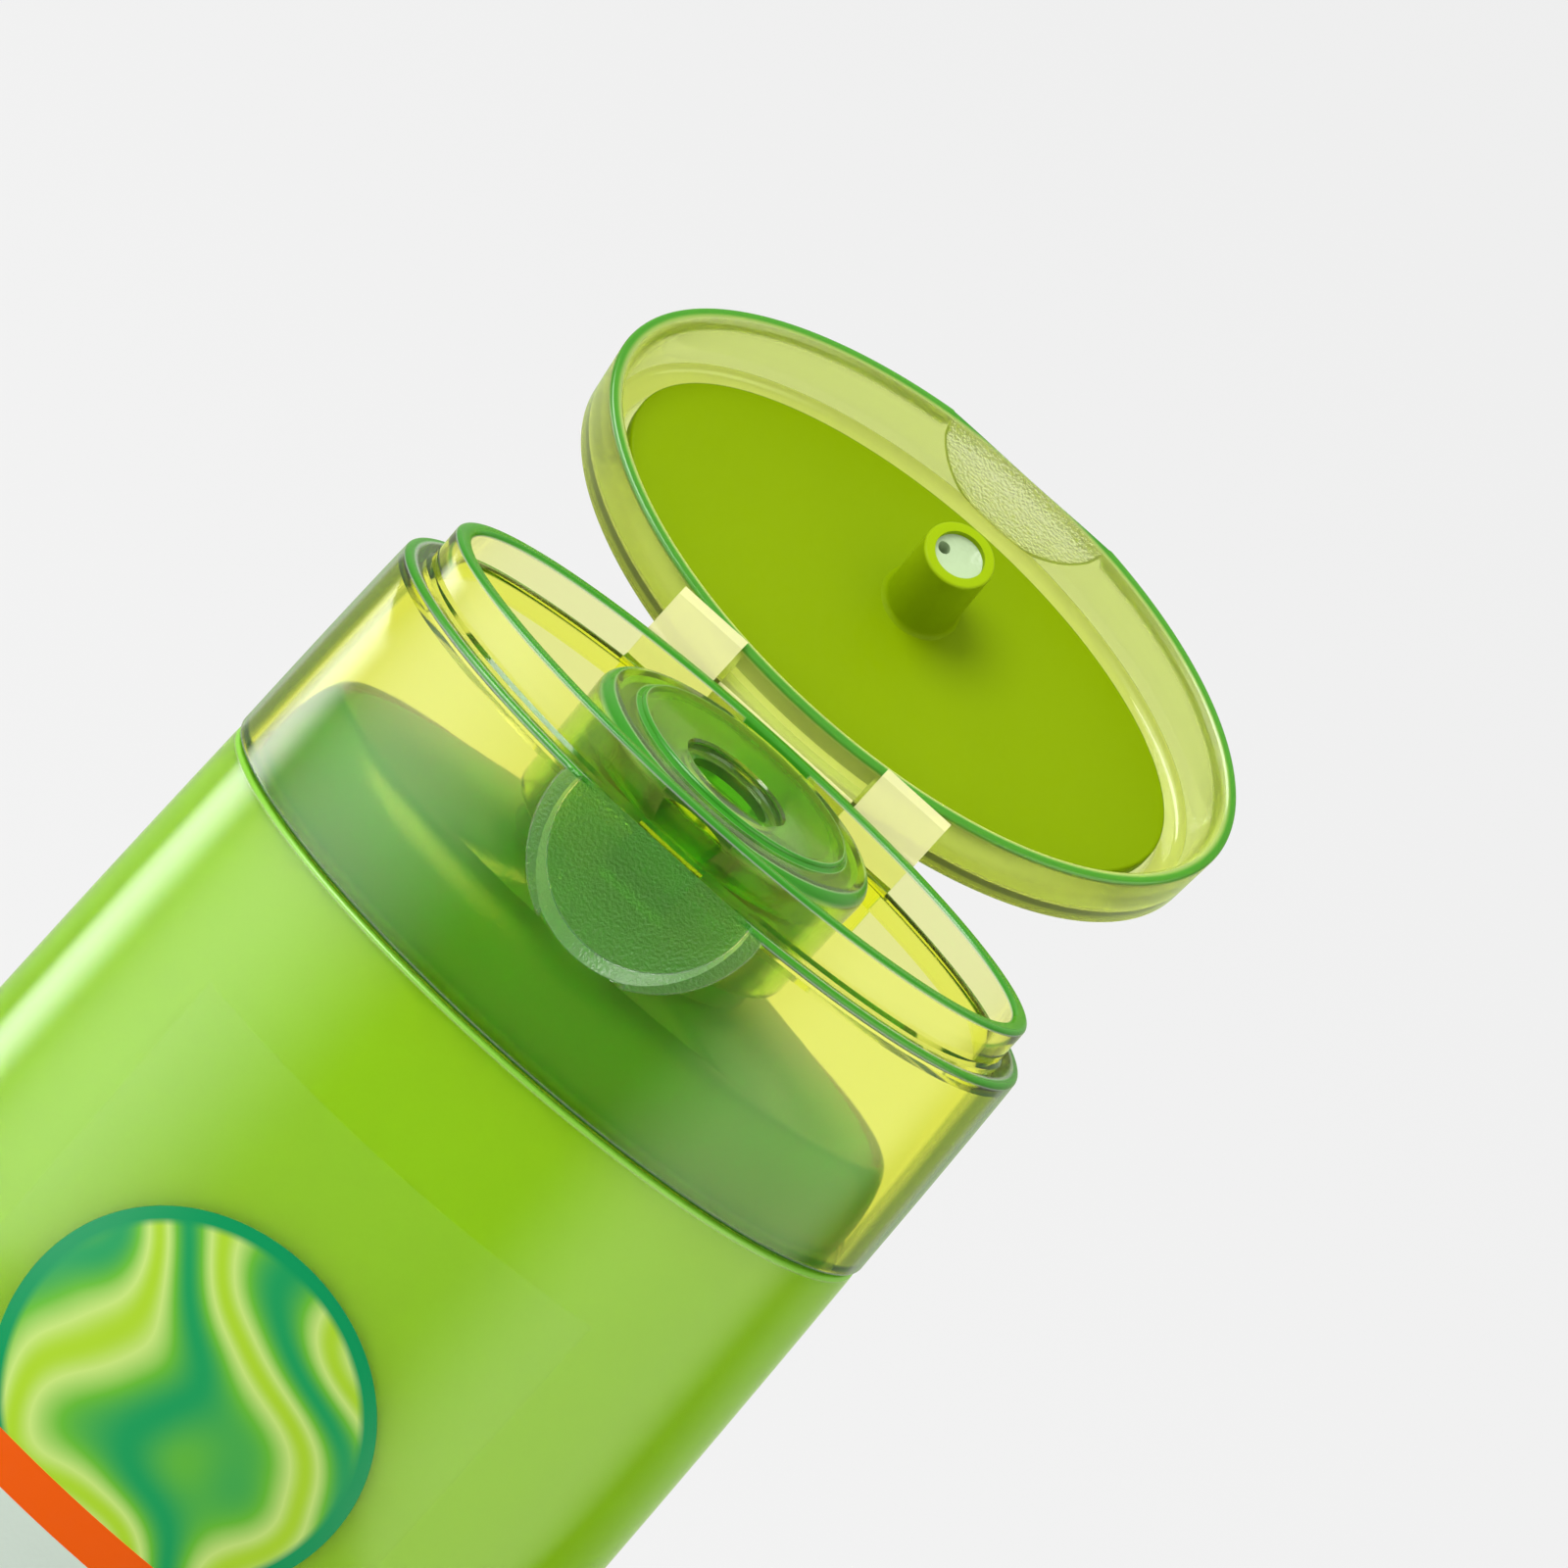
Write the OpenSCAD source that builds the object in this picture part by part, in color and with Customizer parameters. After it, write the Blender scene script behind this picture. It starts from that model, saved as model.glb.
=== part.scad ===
// Oval squeeze bottle with a clear flip-top cap, standing upright with its lid held open.
// X is the width, -Y the front with the thumb recess, +Y the hinge side, Z up. The origin is
// the middle of the foot. Lengths are millimetres.

/* [Bottle] */
// Height from the foot to the line where the cap meets the bottle
body_height = 125; // [100:1:160]
// Width of the bottle at its widest
body_width = 64.6; // [56:0.2:72]
// Depth of the bottle, front to back, at its widest
body_depth = 37.4; // [34:0.2:44]
// Height of the widest section above the foot
widest_height = 55; // [40:1:70]
// Thickness of the blow-moulded wall
bottle_wall = 1.1; // [0.8:0.1:1.6]
// Radius of the rounding round the foot
foot_radius = 3.4; // [2:0.1:5]
// Height of the recess under the foot
foot_recess = 1; // [0.6:0.1:2]
// Width of the flat ring that the foot stands on
foot_ring = 2.4; // [1.6:0.1:4]
// Height above the cap line where the bottle's sloping shoulder meets the neck
shoulder_rise = 10; // [9.4:0.1:11]
// Height above the cap line where the rounding of the shoulder's sides ends
shoulder_side = 8; // [7:0.1:9]
// Height of that rounding
shoulder_round = 6; // [4:0.1:6.6]
// How far the rounding draws the shoulder in, across the width
shoulder_draw_w = 2; // [1:0.1:3]
// How far it draws the shoulder in, front to back
shoulder_draw_d = 4; // [3:0.1:4.1]

/* [Neck] */
// Outer diameter of the neck
neck_d = 22; // [20:0.2:22.4]
// Thickness of the neck's wall
neck_wall = 1.6; // [1.2:0.1:2]
// Gap between the neck's top and the cap above it
neck_headroom = 0.3; // [0.2:0.1:0.6]
// How far the snap beads of neck and collar stand out
snap_bead = 0.35; // [0.2:0.05:0.45]
// How far those beads sink into the wall behind them
bead_sink = 0.1; // [0.05:0.01:0.2]
// Distance of the neck's bead below its top
bead_drop = 2; // [1.5:0.1:2.5]
// Distance between the two beads
bead_space = 0.5; // [0.3:0.1:0.8]

/* [Contents] */
// Gap between the conditioner and the bottle's wall
fill_gap = 0.05; // [0.02:0.01:0.2]
// Air between the conditioner and the outlet tube above it
fill_headroom = 0.5; // [0.3:0.1:4]

/* [Labels] */
// Width of each label, measured straight across
label_width = 38; // [28:1:42]
// Height of each label
label_height = 92; // [70:1:98]
// Distance from the cap line down to the label's top
label_drop = 12; // [8:0.5:16]
// Thickness of the label film
label_thickness = 0.12; // [0.08:0.01:0.3]
// Gap between the label film and the bottle's wall
label_gap = 0.03; // [0.02:0.01:0.1]

/* [Cap base] */
// Width of the cap at its lower edge
cap_width = 62; // [54:0.2:66]
// Depth of the cap at its lower edge
cap_depth = 36; // [33:0.2:40]
// Height of the cap from its lower edge to the parting line
cap_height = 19.4; // [18:0.2:24]
// How much narrower each side is at the parting line, across the width
cap_taper_w = 0.7; // [0.2:0.1:1.5]
// How much narrower each side is at the parting line, front to back
cap_taper_d = 1.6; // [0.8:0.1:1.8]
// How much the skirt bulges halfway up
cap_bulge = 0.05; // [0:0.01:0.1]
// Wall of the cap's skirt
cap_wall = 1.8; // [1.6:0.1:2.2]
// Gap between the cap's lower edge and the bottle's ledge
cap_gap = 0.25; // [0.15:0.05:0.5]
// How far the cap stands out past the bottle at their joint
cap_overhang = 0.15; // [0:0.05:0.4]
// Gap between the skirt and the bottle's shoulder inside it
skirt_gap = 0.4; // [0.3:0.05:0.8]
// Rounding of the cap's outer edges
cap_edge = 0.4; // [0.2:0.1:0.6]
// Step from the skirt in to the lip, across the width
ledge_w = 2.05; // [1.9:0.05:2.6]
// Step from the skirt in to the lip, front to back
ledge_d = 2.4; // [2.3:0.05:2.8]
// Height of the lip above the parting line
lip_height = 3.5; // [2.5:0.1:3.8]
// Wall of the lip
lip_wall = 1.4; // [1.1:0.1:1.6]
// Height of the slope inside, between the lip and the skirt
lip_root = 1.6; // [1.2:0.1:2]

/* [Nozzle] */
// Outer diameter of the collar round the neck
collar_d = 25.7; // [25.2:0.1:26]
// Gap between collar and neck
collar_gap = 0.4; // [0.3:0.05:0.5]
// Gap between the collar's lower edge and the bottle's shoulder
collar_rise = 2.1; // [1.6:0.1:3]
// How much the collar narrows down to its lower edge
collar_taper = 0.4; // [0.1:0.1:0.6]
// Width of the webs that join the collar to the skirt, front and back
web_width = 6; // [4:0.5:8]
// Height of those webs, down from the parting line
web_height = 5; // [3:0.5:6]
// Height of the collar's flat top above the parting line
boss_rise = 3.7; // [3:0.1:4.4]
// Diameter of the raised disc on the collar's top
boss_disc_d = 19.5; // [18:0.5:21]
// Height of the raised disc
boss_step = 0.5; // [0.3:0.1:0.8]
// Rounding of the collar's top edge
boss_edge = 1.3; // [0.6:0.1:1.5]
// Thickness of the collar's top plate
boss_plate = 1.3; // [1:0.1:1.6]
// Distance of the outlet in front of the middle
outlet_forward = 3.2; // [1:0.1:4]
// Diameter of the outlet
outlet_d = 7; // [6.6:0.1:7.4]
// Diameter of the dished recess round the outlet
outlet_recess_d = 9; // [8.2:0.1:10]
// Depth of that recess
outlet_recess_depth = 0.9; // [0.5:0.1:1.1]
// Wall of the outlet tube under the plate
outlet_wall = 0.9; // [0.7:0.1:1.1]
// Depth of the outlet tube below the parting line
outlet_tube = 3.6; // [3:0.1:5]
// Wall of the ring that seals inside the neck
plug_wall = 0.8; // [0.6:0.1:1]
// Length of that ring
plug_length = 3; // [2:0.1:4]
// Gap between that ring and the neck
plug_gap = 0.15; // [0.1:0.05:0.3]

/* [Thumb recess] */
// Radius of the round recess, half in the cap and half in the lid
thumb_r = 8.3; // [6:0.1:9]
// Distance of its centre below the parting line
thumb_drop = 1.1; // [0.9:0.1:2]
// Depth of its floor
thumb_depth = 0.85; // [0.5:0.05:0.9]
// Width of the bevel round it
thumb_bevel = 1; // [0.5:0.1:1.2]

/* [Lid] */
// How far the lid stands open in the rest pose, from closed
open_angle = 144; // [120:1:155]
// Height of the lid from the parting line to its flat top
lid_height = 8; // [7.8:0.1:10]
// Wall of the lid
lid_wall = 1.5; // [1.3:0.1:1.6]
// Thickness of the lid's top plate
lid_plate = 1.4; // [1:0.1:1.8]
// Rounding of the lid's top edge
lid_edge = 1.2; // [0.6:0.1:1.6]
// Rounding inside the lid, between wall and top plate
lid_fillet = 0.8; // [0.4:0.1:1.2]
// How much the lid narrows up to its top edge
lid_taper = 0.3; // [0.1:0.05:0.6]
// Gap between the closed lid and the cap at the parting line
parting_gap = 0.12; // [0.08:0.02:0.3]
// Thickness of the coloured insert inside the lid
insert_thickness = 1.35; // [1:0.05:1.5]
// Clear band left round the insert
insert_margin = 2.4; // [1:0.1:3]
// Outer diameter of the plug pin
pin_d = 6; // [5:0.1:6]
// Wall of the plug pin
pin_wall = 0.9; // [0.7:0.1:1.2]
// Length of the plug pin
pin_length = 7.6; // [6:0.1:8]
// Size of the sloping root of the plug pin
pin_root = 0.5; // [0.2:0.1:0.8]

/* [Hinge] */
// Distance of the hinge line behind the cap's back at the parting line
hinge_back = 2; // [1.8:0.1:2.6]
// Height of the hinge line above the parting line
hinge_rise = 2.1; // [1.8:0.1:2.6]
// Length of the middle hinge film
hinge_length = 13.6; // [10:0.2:14]
// Thickness of the hinge film
film_thickness = 0.36; // [0.3:0.02:0.4]
// Gap between the hinge film and the wall under it
film_gap = 0.02; // [0.01:0.01:0.1]
// Thickness of the wall that carries the hinge
hinge_wall = 1.3; // [1:0.1:1.4]
// Distance from that wall's back to the hinge line behind it
hinge_setback = 0.35; // [0.2:0.05:0.5]
// How far that wall reaches below the parting line
hinge_wall_depth = 5; // [4:0.5:6]
// How far the ribs in front of that wall reach inside the skirt
rib_reach = 1; // [0.8:0.1:1.5]
// Height of the lid's ear
ear_height = 1.8; // [1:0.1:2.4]
// Gap between the hinge line and the lid's ear above it
ear_gap = 0.3; // [0.25:0.05:0.5]
// How far the ear reaches past the hinge line
ear_reach = 0.25; // [0.1:0.05:0.3]
// Distance from the middle to the inner edge of each strap
strap_from = 7.2; // [7.2:0.1:8]
// Width of each strap
strap_width = 6.4; // [4:0.1:7]
// Thickness of each strap
strap_thickness = 0.4; // [0.3:0.05:0.6]
// Gap between each strap's end and the lid's rim
strap_end_gap = 0.15; // [0.1:0.05:0.3]
// Distance from the lid's back to the bend in each strap
strap_bend = 0.1; // [0:0.05:0.3]
// How far each strap laps over the lid's rim, from the lid's back
strap_lap = 2.4; // [1.5:0.1:2.8]

/* [Hidden] */
$fn = 96;

// Sides of each oval section, and steps of each rounding
sides = 64;
turns = 4;
// Rows of the label film
label_rows = 8;
// A little extra so that cuts pass through and unions bite
bite = 0.4;
// Height over which the wall takes over from the foot's rounding
foot_blend = 1;
// Height of the slope under the ledge, inside the bottle
ledge_slope = 1;

parting_z = body_height + cap_gap + cap_height;
joint_a = cap_width / 2 - cap_overhang;
joint_b = cap_depth / 2 - cap_overhang;
top_a = cap_width / 2 - cap_taper_w;
top_b = cap_depth / 2 - cap_taper_d;
lip_a = top_a - ledge_w;
lip_b = top_b - ledge_d;
step_a = cap_wall + skirt_gap - cap_overhang + cap_taper_w * shoulder_side / cap_height;
step_b = cap_wall + skirt_gap - cap_overhang + cap_taper_d * shoulder_side / cap_height;
shoulder_z = body_height + shoulder_rise;
neck_r = neck_d / 2;
collar_r = collar_d / 2;
collar_in = neck_r + collar_gap;
boss_z = parting_z + boss_rise;
plate_under = boss_z - boss_step - boss_plate;
neck_top = plate_under - neck_headroom;
hinge_y = top_b + hinge_back;
hinge_z = parting_z + hinge_rise;
upstand_out = hinge_y - hinge_setback;
upstand_in = upstand_out - hinge_wall;
upstand_top = hinge_z - film_thickness / 2 - film_gap;
insert_a = top_a - lid_wall - insert_margin;
insert_b = top_b - lid_wall - insert_margin;

// One oval ring of points; s holds its half-width, half-depth and height
function ring(s) =
    [for (i = [0:sides - 1]) let (t = 360 * i / sides) [s[0] * cos(t), s[1] * sin(t), s[2]]];

// Sections of a quarter round of radius r, from the side wall a, b in and up to height z
function round_up(a, b, z, r) =
    [for (i = [0:turns]) let (c = r * cos(90 * i / turns), s = r * sin(90 * i / turns))
        [a - r + c, b - r + c, z - r + s]];
// The same, run down and inwards to height z
function round_down(a, b, z, r) =
    [for (i = [0:turns]) let (c = r * cos(90 * i / turns), s = r * sin(90 * i / turns))
        [a - r + c, b - r + c, z + r - s]];
function back_to_front(v) = [for (i = [len(v) - 1:-1:0]) v[i]];

// Half-width and half-depth of the bottle's outside at height z
function swell(z) = pow((z - widest_height) / (body_height - widest_height), 2);
function body_a(z) = body_width / 2 - (body_width / 2 - joint_a) * swell(z);
function body_b(z) = body_depth / 2 - (body_depth / 2 - joint_b) * swell(z);
// Sections of the bottle's wall, set in by w, between two heights
function body_wall(low, high, w) =
    let (n = 10)
    [for (i = [0:n]) let (z = low + (high - low) * i / n) [body_a(z) - w, body_b(z) - w, z]];

// A point given with the lid closed, as distance back and height, after the lid has opened
function opened(p) =
    let (y = p[0] - hinge_y, z = p[1] - hinge_z)
    [hinge_y + y * cos(open_angle) + z * sin(open_angle),
     hinge_z - y * sin(open_angle) + z * cos(open_angle)];

// Solid through a list of oval sections. Closed lists end where they start and make a ring;
// open lists get a flat face on their first and last section.
module loft(sections, closed = false) {
    n = len(sections);
    last = closed ? n - 1 : n - 2;
    side_faces = [for (i = [0:last]) for (j = [0:sides - 1])
        let (p = i * sides, q = ((i + 1) % n) * sides, k = (j + 1) % sides)
        each [[p + j, q + j, q + k], [p + j, q + k, p + k]]];
    end_faces = closed ? [] : [[for (j = [0:sides - 1]) j],
                               [for (j = [sides - 1:-1:0]) (n - 1) * sides + j]];
    polyhedron([for (s = sections) each ring(s)], concat(side_faces, end_faces), convexity = 8);
}

// Extrudes a drawing whose axes are depth and height along X, from x = start
module along_x(start, length) {
    translate([start, 0, 0]) rotate([90, 0, 90]) linear_extrude(length) children();
}

// Puts what is drawn for the closed lid into the open rest pose
module open_lid() {
    translate([0, hinge_y, hinge_z]) rotate([-open_angle, 0, 0])
        translate([0, -hinge_y, -hinge_z]) children();
}

// The round thumb recess with its bevel, tilted to lie along a wall that leans by lean
module thumb_cut(lean) {
    reach = 4;
    translate([0, -top_b + thumb_depth, parting_z - thumb_drop]) rotate([90 - lean, 0, 0])
        cylinder(h = reach, r1 = thumb_r, r2 = thumb_r + thumb_bevel * reach / thumb_depth);
}

// Sections of the bottle's shoulder inside the skirt, set in by w
function shoulder_wall(w) =
    let (a = joint_a - step_a - w, b = joint_b - step_b - w, z = body_height + shoulder_side - w)
    concat([[a, b, body_height - w]],
        [for (i = [0:turns]) let (c = 1 - cos(90 * i / turns), s = 1 - sin(90 * i / turns))
            [a - shoulder_draw_w * c, b - shoulder_draw_d * c, z - shoulder_round * s]]);

// Oval blow-moulded bottle with a ringed foot, a ledge for the cap, a shoulder and a neck
module bottle() {
    foot_a = body_a(foot_radius);
    foot_b = body_b(foot_radius);
    flat = foot_radius + foot_ring;
    hole = neck_r - neck_wall / 2;
    outside = concat(
        [[foot_a - flat - 2 * foot_recess, foot_b - flat - 2 * foot_recess, foot_recess],
         [foot_a - flat, foot_b - flat, 0]],
        back_to_front(round_down(foot_a, foot_b, 0, foot_radius)),
        body_wall(foot_radius + foot_blend, body_height, 0),
        shoulder_wall(0),
        [[hole, hole, shoulder_z]]);
    inside = concat(
        [[hole, hole, shoulder_z - bottle_wall]],
        back_to_front(shoulder_wall(bottle_wall)),
        back_to_front(body_wall(foot_radius + bottle_wall + 2 * foot_blend,
                                body_height - bottle_wall - ledge_slope, bottle_wall)),
        round_down(foot_a - bottle_wall, foot_b - bottle_wall, foot_recess + bottle_wall, foot_radius));
    color([0.62, 0.80, 0.42, 0.7]) {
        loft(concat(outside, inside));
        rotate_extrude() {
            translate([neck_r - neck_wall, shoulder_z - bottle_wall])
                square([neck_wall, neck_top - shoulder_z + bottle_wall]);
            translate([neck_r - neck_wall / 2, neck_top - bead_drop])
                circle(r = snap_bead + neck_wall / 2 - bead_sink);
        }
    }
}

// The conditioner that fills the bottle and most of its neck
module conditioner() {
    w = bottle_wall + fill_gap;
    low = foot_recess + w;
    foot_a = body_a(foot_radius);
    foot_b = body_b(foot_radius);
    mouth = neck_r - neck_wall - fill_gap;
    color([0.80, 0.88, 0.62]) loft(concat(
        back_to_front(round_down(foot_a - w, foot_b - w, low, foot_radius)),
        body_wall(foot_radius + w + 2 * foot_blend, body_height - w - ledge_slope, w),
        shoulder_wall(w),
        [[mouth, mouth, shoulder_z - w],
         [mouth, mouth, parting_z - outlet_tube - fill_headroom]]));
}

// Where a ring's straight side lies at angle t, as shares of its half-width and half-depth
function on_side(t) =
    let (k = floor(t * sides / 360), f = t * sides / 360 - k, p = 360 * k / sides,
         q = 360 * (k + 1) / sides)
    [cos(p) + (cos(q) - cos(p)) * f, sin(p) + (sin(q) - sin(p)) * f];

// A thin film that follows the bottle's face, sign -1 for the front and 1 for the back
module label(sign) {
    high = body_height - label_drop;
    reach = asin(label_width / body_width);
    corners = [for (k = [0:sides / 2]) 360 * k / sides];
    columns = concat([90 - reach], [for (t = corners) if (abs(t - 90) < reach - bite) t],
                     [90 + reach]);
    function film(out) = [for (i = [0:label_rows]) for (t = columns)
        let (z = high - label_height * (1 - i / label_rows), p = on_side(t))
        [(body_a(z) + out) * p[0] * -sign, (body_b(z) + out) * p[1] * sign, z]];
    w = len(columns);
    n = w - 1;
    m = (label_rows + 1) * w;
    sheet = [for (i = [0:label_rows - 1]) for (j = [0:n - 1]) let (p = i * w + j)
        each [[p, p + w, p + w + 1], [p, p + w + 1, p + 1]]];
    back = [for (f = sheet) [f[0] + m, f[2] + m, f[1] + m]];
    ends = [for (i = [0:label_rows - 1]) for (j = [0, n]) let (p = i * w + j)
        each (j == 0 ? [[p, p + m, p + m + w], [p, p + m + w, p + w]]
                     : [[p, p + m + w, p + m], [p, p + w, p + m + w]])];
    rims = [for (j = [0:n - 1]) for (i = [0, label_rows]) let (p = i * w + j)
        each (i == 0 ? [[p, p + m + 1, p + m], [p, p + 1, p + m + 1]]
                     : [[p, p + m, p + m + 1], [p, p + m + 1, p + 1]])];
    polyhedron(concat(film(label_gap + label_thickness), film(label_gap)),
               concat(sheet, back, ends, rims), convexity = 4);
}
module front_label() { color([0.85, 0.93, 0.80, 0.5]) label(-1); }
module back_label() { color([0.85, 0.93, 0.80, 0.5]) label(1); }

// Skirt, ledge, lip, collar and outlet of the cap, one clear moulding
module cap_base() {
    low_a = cap_width / 2;
    low_b = cap_depth / 2;
    low_z = body_height + cap_gap;
    in_a = top_a - cap_wall;
    in_b = top_b - cap_wall;
    under = parting_z - cap_wall;
    lean = atan(cap_taper_d / cap_height);
    function at(z) = (z - low_z) / cap_height;
    function inner(z) =
        [low_a - cap_wall - cap_taper_w * at(z), low_b - cap_wall - cap_taper_d * at(z), z];
    // Turns the lip's inner edge over, from its top down into the well
    lip_inside = [for (i = [turns:-1:0])
        let (c = cap_edge - cap_edge * cos(90 * i / turns), r = cap_edge * sin(90 * i / turns))
        [lip_a - lip_wall + c, lip_b - lip_wall + c, parting_z + lip_height - cap_edge + r]];
    color([0.86, 0.88, 0.38, 0.55]) difference() {
        union() {
            loft(concat(
                [[low_a, low_b, low_z],
                 [(low_a + top_a) / 2 + cap_bulge, (low_b + top_b) / 2 + cap_bulge,
                  low_z + cap_height / 2]],
                round_up(top_a, top_b, parting_z, cap_edge),
                [[lip_a, lip_b, parting_z]],
                round_up(lip_a, lip_b, parting_z + lip_height, cap_edge),
                lip_inside,
                [[lip_a - lip_wall, lip_b - lip_wall, under + lip_root / 4],
                 [in_a, in_b, under - lip_root * 3 / 4],
                 inner(low_z)]), closed = true);
            collar();
            collar_webs();
            hinge_upstand();
        }
        thumb_cut(lean);
        outlet_cut();
    }
}

// Collar round the neck with its raised disc, seal ring and outlet tube
module collar() {
    shelf = boss_z - boss_step;
    plug_r = neck_r - neck_wall - plug_gap;
    rotate_extrude() {
        polygon([[collar_in, shoulder_z + collar_rise],
                 [collar_r - collar_taper, shoulder_z + collar_rise],
                 [collar_r, shelf - boss_edge], [collar_in, shelf - boss_edge]]);
        translate([collar_r - boss_edge, shelf - boss_edge]) intersection() {
            circle(r = boss_edge);
            square(boss_edge);
        }
        translate([0, plate_under]) square([collar_r - boss_edge, boss_plate]);
        translate([0, shelf - bite]) square([boss_disc_d / 2, boss_step + bite]);
        translate([plug_r - plug_wall, plate_under - plug_length])
            square([plug_wall, plug_length + bite]);
        translate([collar_in + bead_sink, neck_top - bead_drop - 2 * snap_bead - bead_space])
            circle(r = snap_bead);
    }
    translate([0, -outlet_forward, parting_z - outlet_tube])
        cylinder(h = plate_under - parting_z + outlet_tube + bite, r = outlet_d / 2 + outlet_wall);
}

// Webs from the collar to the skirt's wall, one in front and one behind
module collar_webs() {
    from = (collar_r + collar_in) / 2;
    to = top_b - cap_wall / 2;
    for (start = [-to, from])
        along_x(-web_width / 2, web_width) translate([start, parting_z - web_height])
            square([to - from, web_height]);
}

// The outlet's bore and the recess round its mouth
module outlet_cut() {
    translate([0, -outlet_forward, parting_z - outlet_tube - bite])
        cylinder(h = outlet_tube + boss_rise + 2 * bite, r = outlet_d / 2);
    translate([0, -outlet_forward, boss_z - outlet_recess_depth])
        cylinder(h = outlet_recess_depth + bite, r = outlet_recess_d / 2);
}

// Wall behind the lid's back that carries the hinge film and the straps
module hinge_upstand() {
    deep = hinge_wall_depth;
    strap_to = strap_from + strap_width;
    along_x(-strap_to, 2 * strap_to) translate([upstand_in, parting_z - deep])
        square([hinge_wall, upstand_top - parting_z + deep]);
    along_x(-strap_from - bite, 2 * (strap_from + bite))
        translate([top_b - cap_wall / 2, parting_z - deep])
        square([upstand_in - top_b + cap_wall / 2 + bite, deep - bite]);
    for (start = [-strap_to, strap_from])
        along_x(start, strap_width) translate([top_b - cap_wall - rib_reach, parting_z - deep])
            square([upstand_in - top_b + cap_wall + rib_reach + bite, deep - bite]);
}

// Clear lid: a shallow oval tray with its half of the thumb recess and an ear for the hinge
module lid() {
    low_z = parting_z + parting_gap;
    top_z = parting_z + lid_height;
    a = top_a - lid_taper;
    b = top_b - lid_taper;
    inside = concat([[top_a - lid_wall, top_b - lid_wall, low_z]],
                    round_up(a - lid_wall, b - lid_wall, top_z - lid_plate, lid_fillet));
    color([0.90, 0.90, 0.50, 0.5]) open_lid() difference() {
        union() {
            loft(concat(back_to_front(inside), [[top_a, top_b, low_z]],
                        round_up(a, b, top_z, lid_edge)));
            along_x(-hinge_length / 2, hinge_length)
                translate([top_b - lid_wall / 2, hinge_z + ear_gap])
                square([hinge_back + lid_wall / 2 + ear_reach, ear_height]);
        }
        thumb_cut(0);
    }
}

// Opaque insert on the lid's ceiling, with the hollow pin that plugs the outlet
module lid_insert() {
    top_z = parting_z + lid_height - lid_plate;
    low_z = top_z - insert_thickness;
    edge = 0.3;
    color([0.60, 0.71, 0.02]) open_lid() {
        loft([[insert_a - edge, insert_b - edge, low_z], [insert_a, insert_b, low_z + edge],
              [insert_a, insert_b, top_z]]);
        translate([0, -outlet_forward, low_z]) rotate_extrude() {
            translate([pin_d / 2 - pin_wall, -pin_length]) square([pin_wall, pin_length + edge]);
            polygon([[pin_d / 2 - pin_wall, -pin_root], [pin_d / 2, -pin_root],
                     [pin_d / 2 + pin_root, edge], [pin_d / 2 - pin_wall, edge]]);
        }
    }
}

// Thin film along the hinge line, between the upstand and the lid's ear
module hinge_film() {
    color([0.88, 0.86, 0.20]) translate([-hinge_length / 2, hinge_y, hinge_z]) rotate([0, 90, 0])
        cylinder(h = hinge_length, d = film_thickness);
}

// Thin strap from the upstand's top to the open lid's rim, start is its edge's place along X.
// It runs clear of the lid's wall, bends and laps over the rim
module strap(start) {
    foot_y = upstand_out - hinge_wall / 2;
    rim_z = parting_z + parting_gap - strap_end_gap;
    bend_y = top_b - strap_bend;
    end_y = top_b - strap_lap;
    color([0.88, 0.88, 0.50]) along_x(start, strap_width) polygon([
        [foot_y - strap_thickness / 2, upstand_top],
        [foot_y + strap_thickness / 2, upstand_top],
        opened([bend_y, rim_z]),
        opened([end_y, rim_z]),
        opened([end_y, rim_z - strap_thickness]),
        opened([bend_y + strap_thickness / 3, rim_z - strap_thickness])]);
}
module hinge_strap_left() { strap(-strap_from - strap_width); }
module hinge_strap_right() { strap(strap_from); }

bottle();
conditioner();
front_label();
back_label();
cap_base();
lid();
lid_insert();
hinge_film();
hinge_strap_left();
hinge_strap_right();
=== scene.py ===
# %% [markdown]
# # A conditioner bottle with a clear flip-top cap
#
# In this lesson we model an oval squeeze bottle whose clear, yellow-green cap stands open. Nearly
# every piece is a *loft*: one oval, extruded again and again, with each new oval scaled to its
# place. We load the engineering model first, because it fixes where everything goes.

# %% Load the frame
import math

import bpy
from mathutils import Matrix, Vector


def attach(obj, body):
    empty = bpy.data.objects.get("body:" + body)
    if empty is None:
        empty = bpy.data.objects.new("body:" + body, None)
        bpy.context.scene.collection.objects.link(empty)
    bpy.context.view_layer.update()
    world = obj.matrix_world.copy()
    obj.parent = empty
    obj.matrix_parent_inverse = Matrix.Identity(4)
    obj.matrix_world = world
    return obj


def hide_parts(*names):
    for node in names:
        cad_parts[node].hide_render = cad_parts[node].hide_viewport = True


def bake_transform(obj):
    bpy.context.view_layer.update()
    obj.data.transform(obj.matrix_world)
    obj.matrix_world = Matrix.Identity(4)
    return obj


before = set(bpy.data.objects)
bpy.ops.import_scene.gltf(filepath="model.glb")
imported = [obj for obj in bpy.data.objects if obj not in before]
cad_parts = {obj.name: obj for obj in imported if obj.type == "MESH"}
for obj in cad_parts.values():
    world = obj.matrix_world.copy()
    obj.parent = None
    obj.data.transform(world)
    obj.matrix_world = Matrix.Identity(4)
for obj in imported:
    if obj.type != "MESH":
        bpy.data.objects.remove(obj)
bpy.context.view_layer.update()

# %% [markdown]
# ## Sizes
#
# All lengths are metres. Z points up, the front with the thumb recess faces -Y, and the origin is
# the middle of the foot. The same sizes shaped the engineering model, so our pieces land on it.

# %% Sizes of the bottle
MM = 0.001
SIDES = 192          # corners of every oval
TURNS = 8            # steps of every rounding

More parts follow.
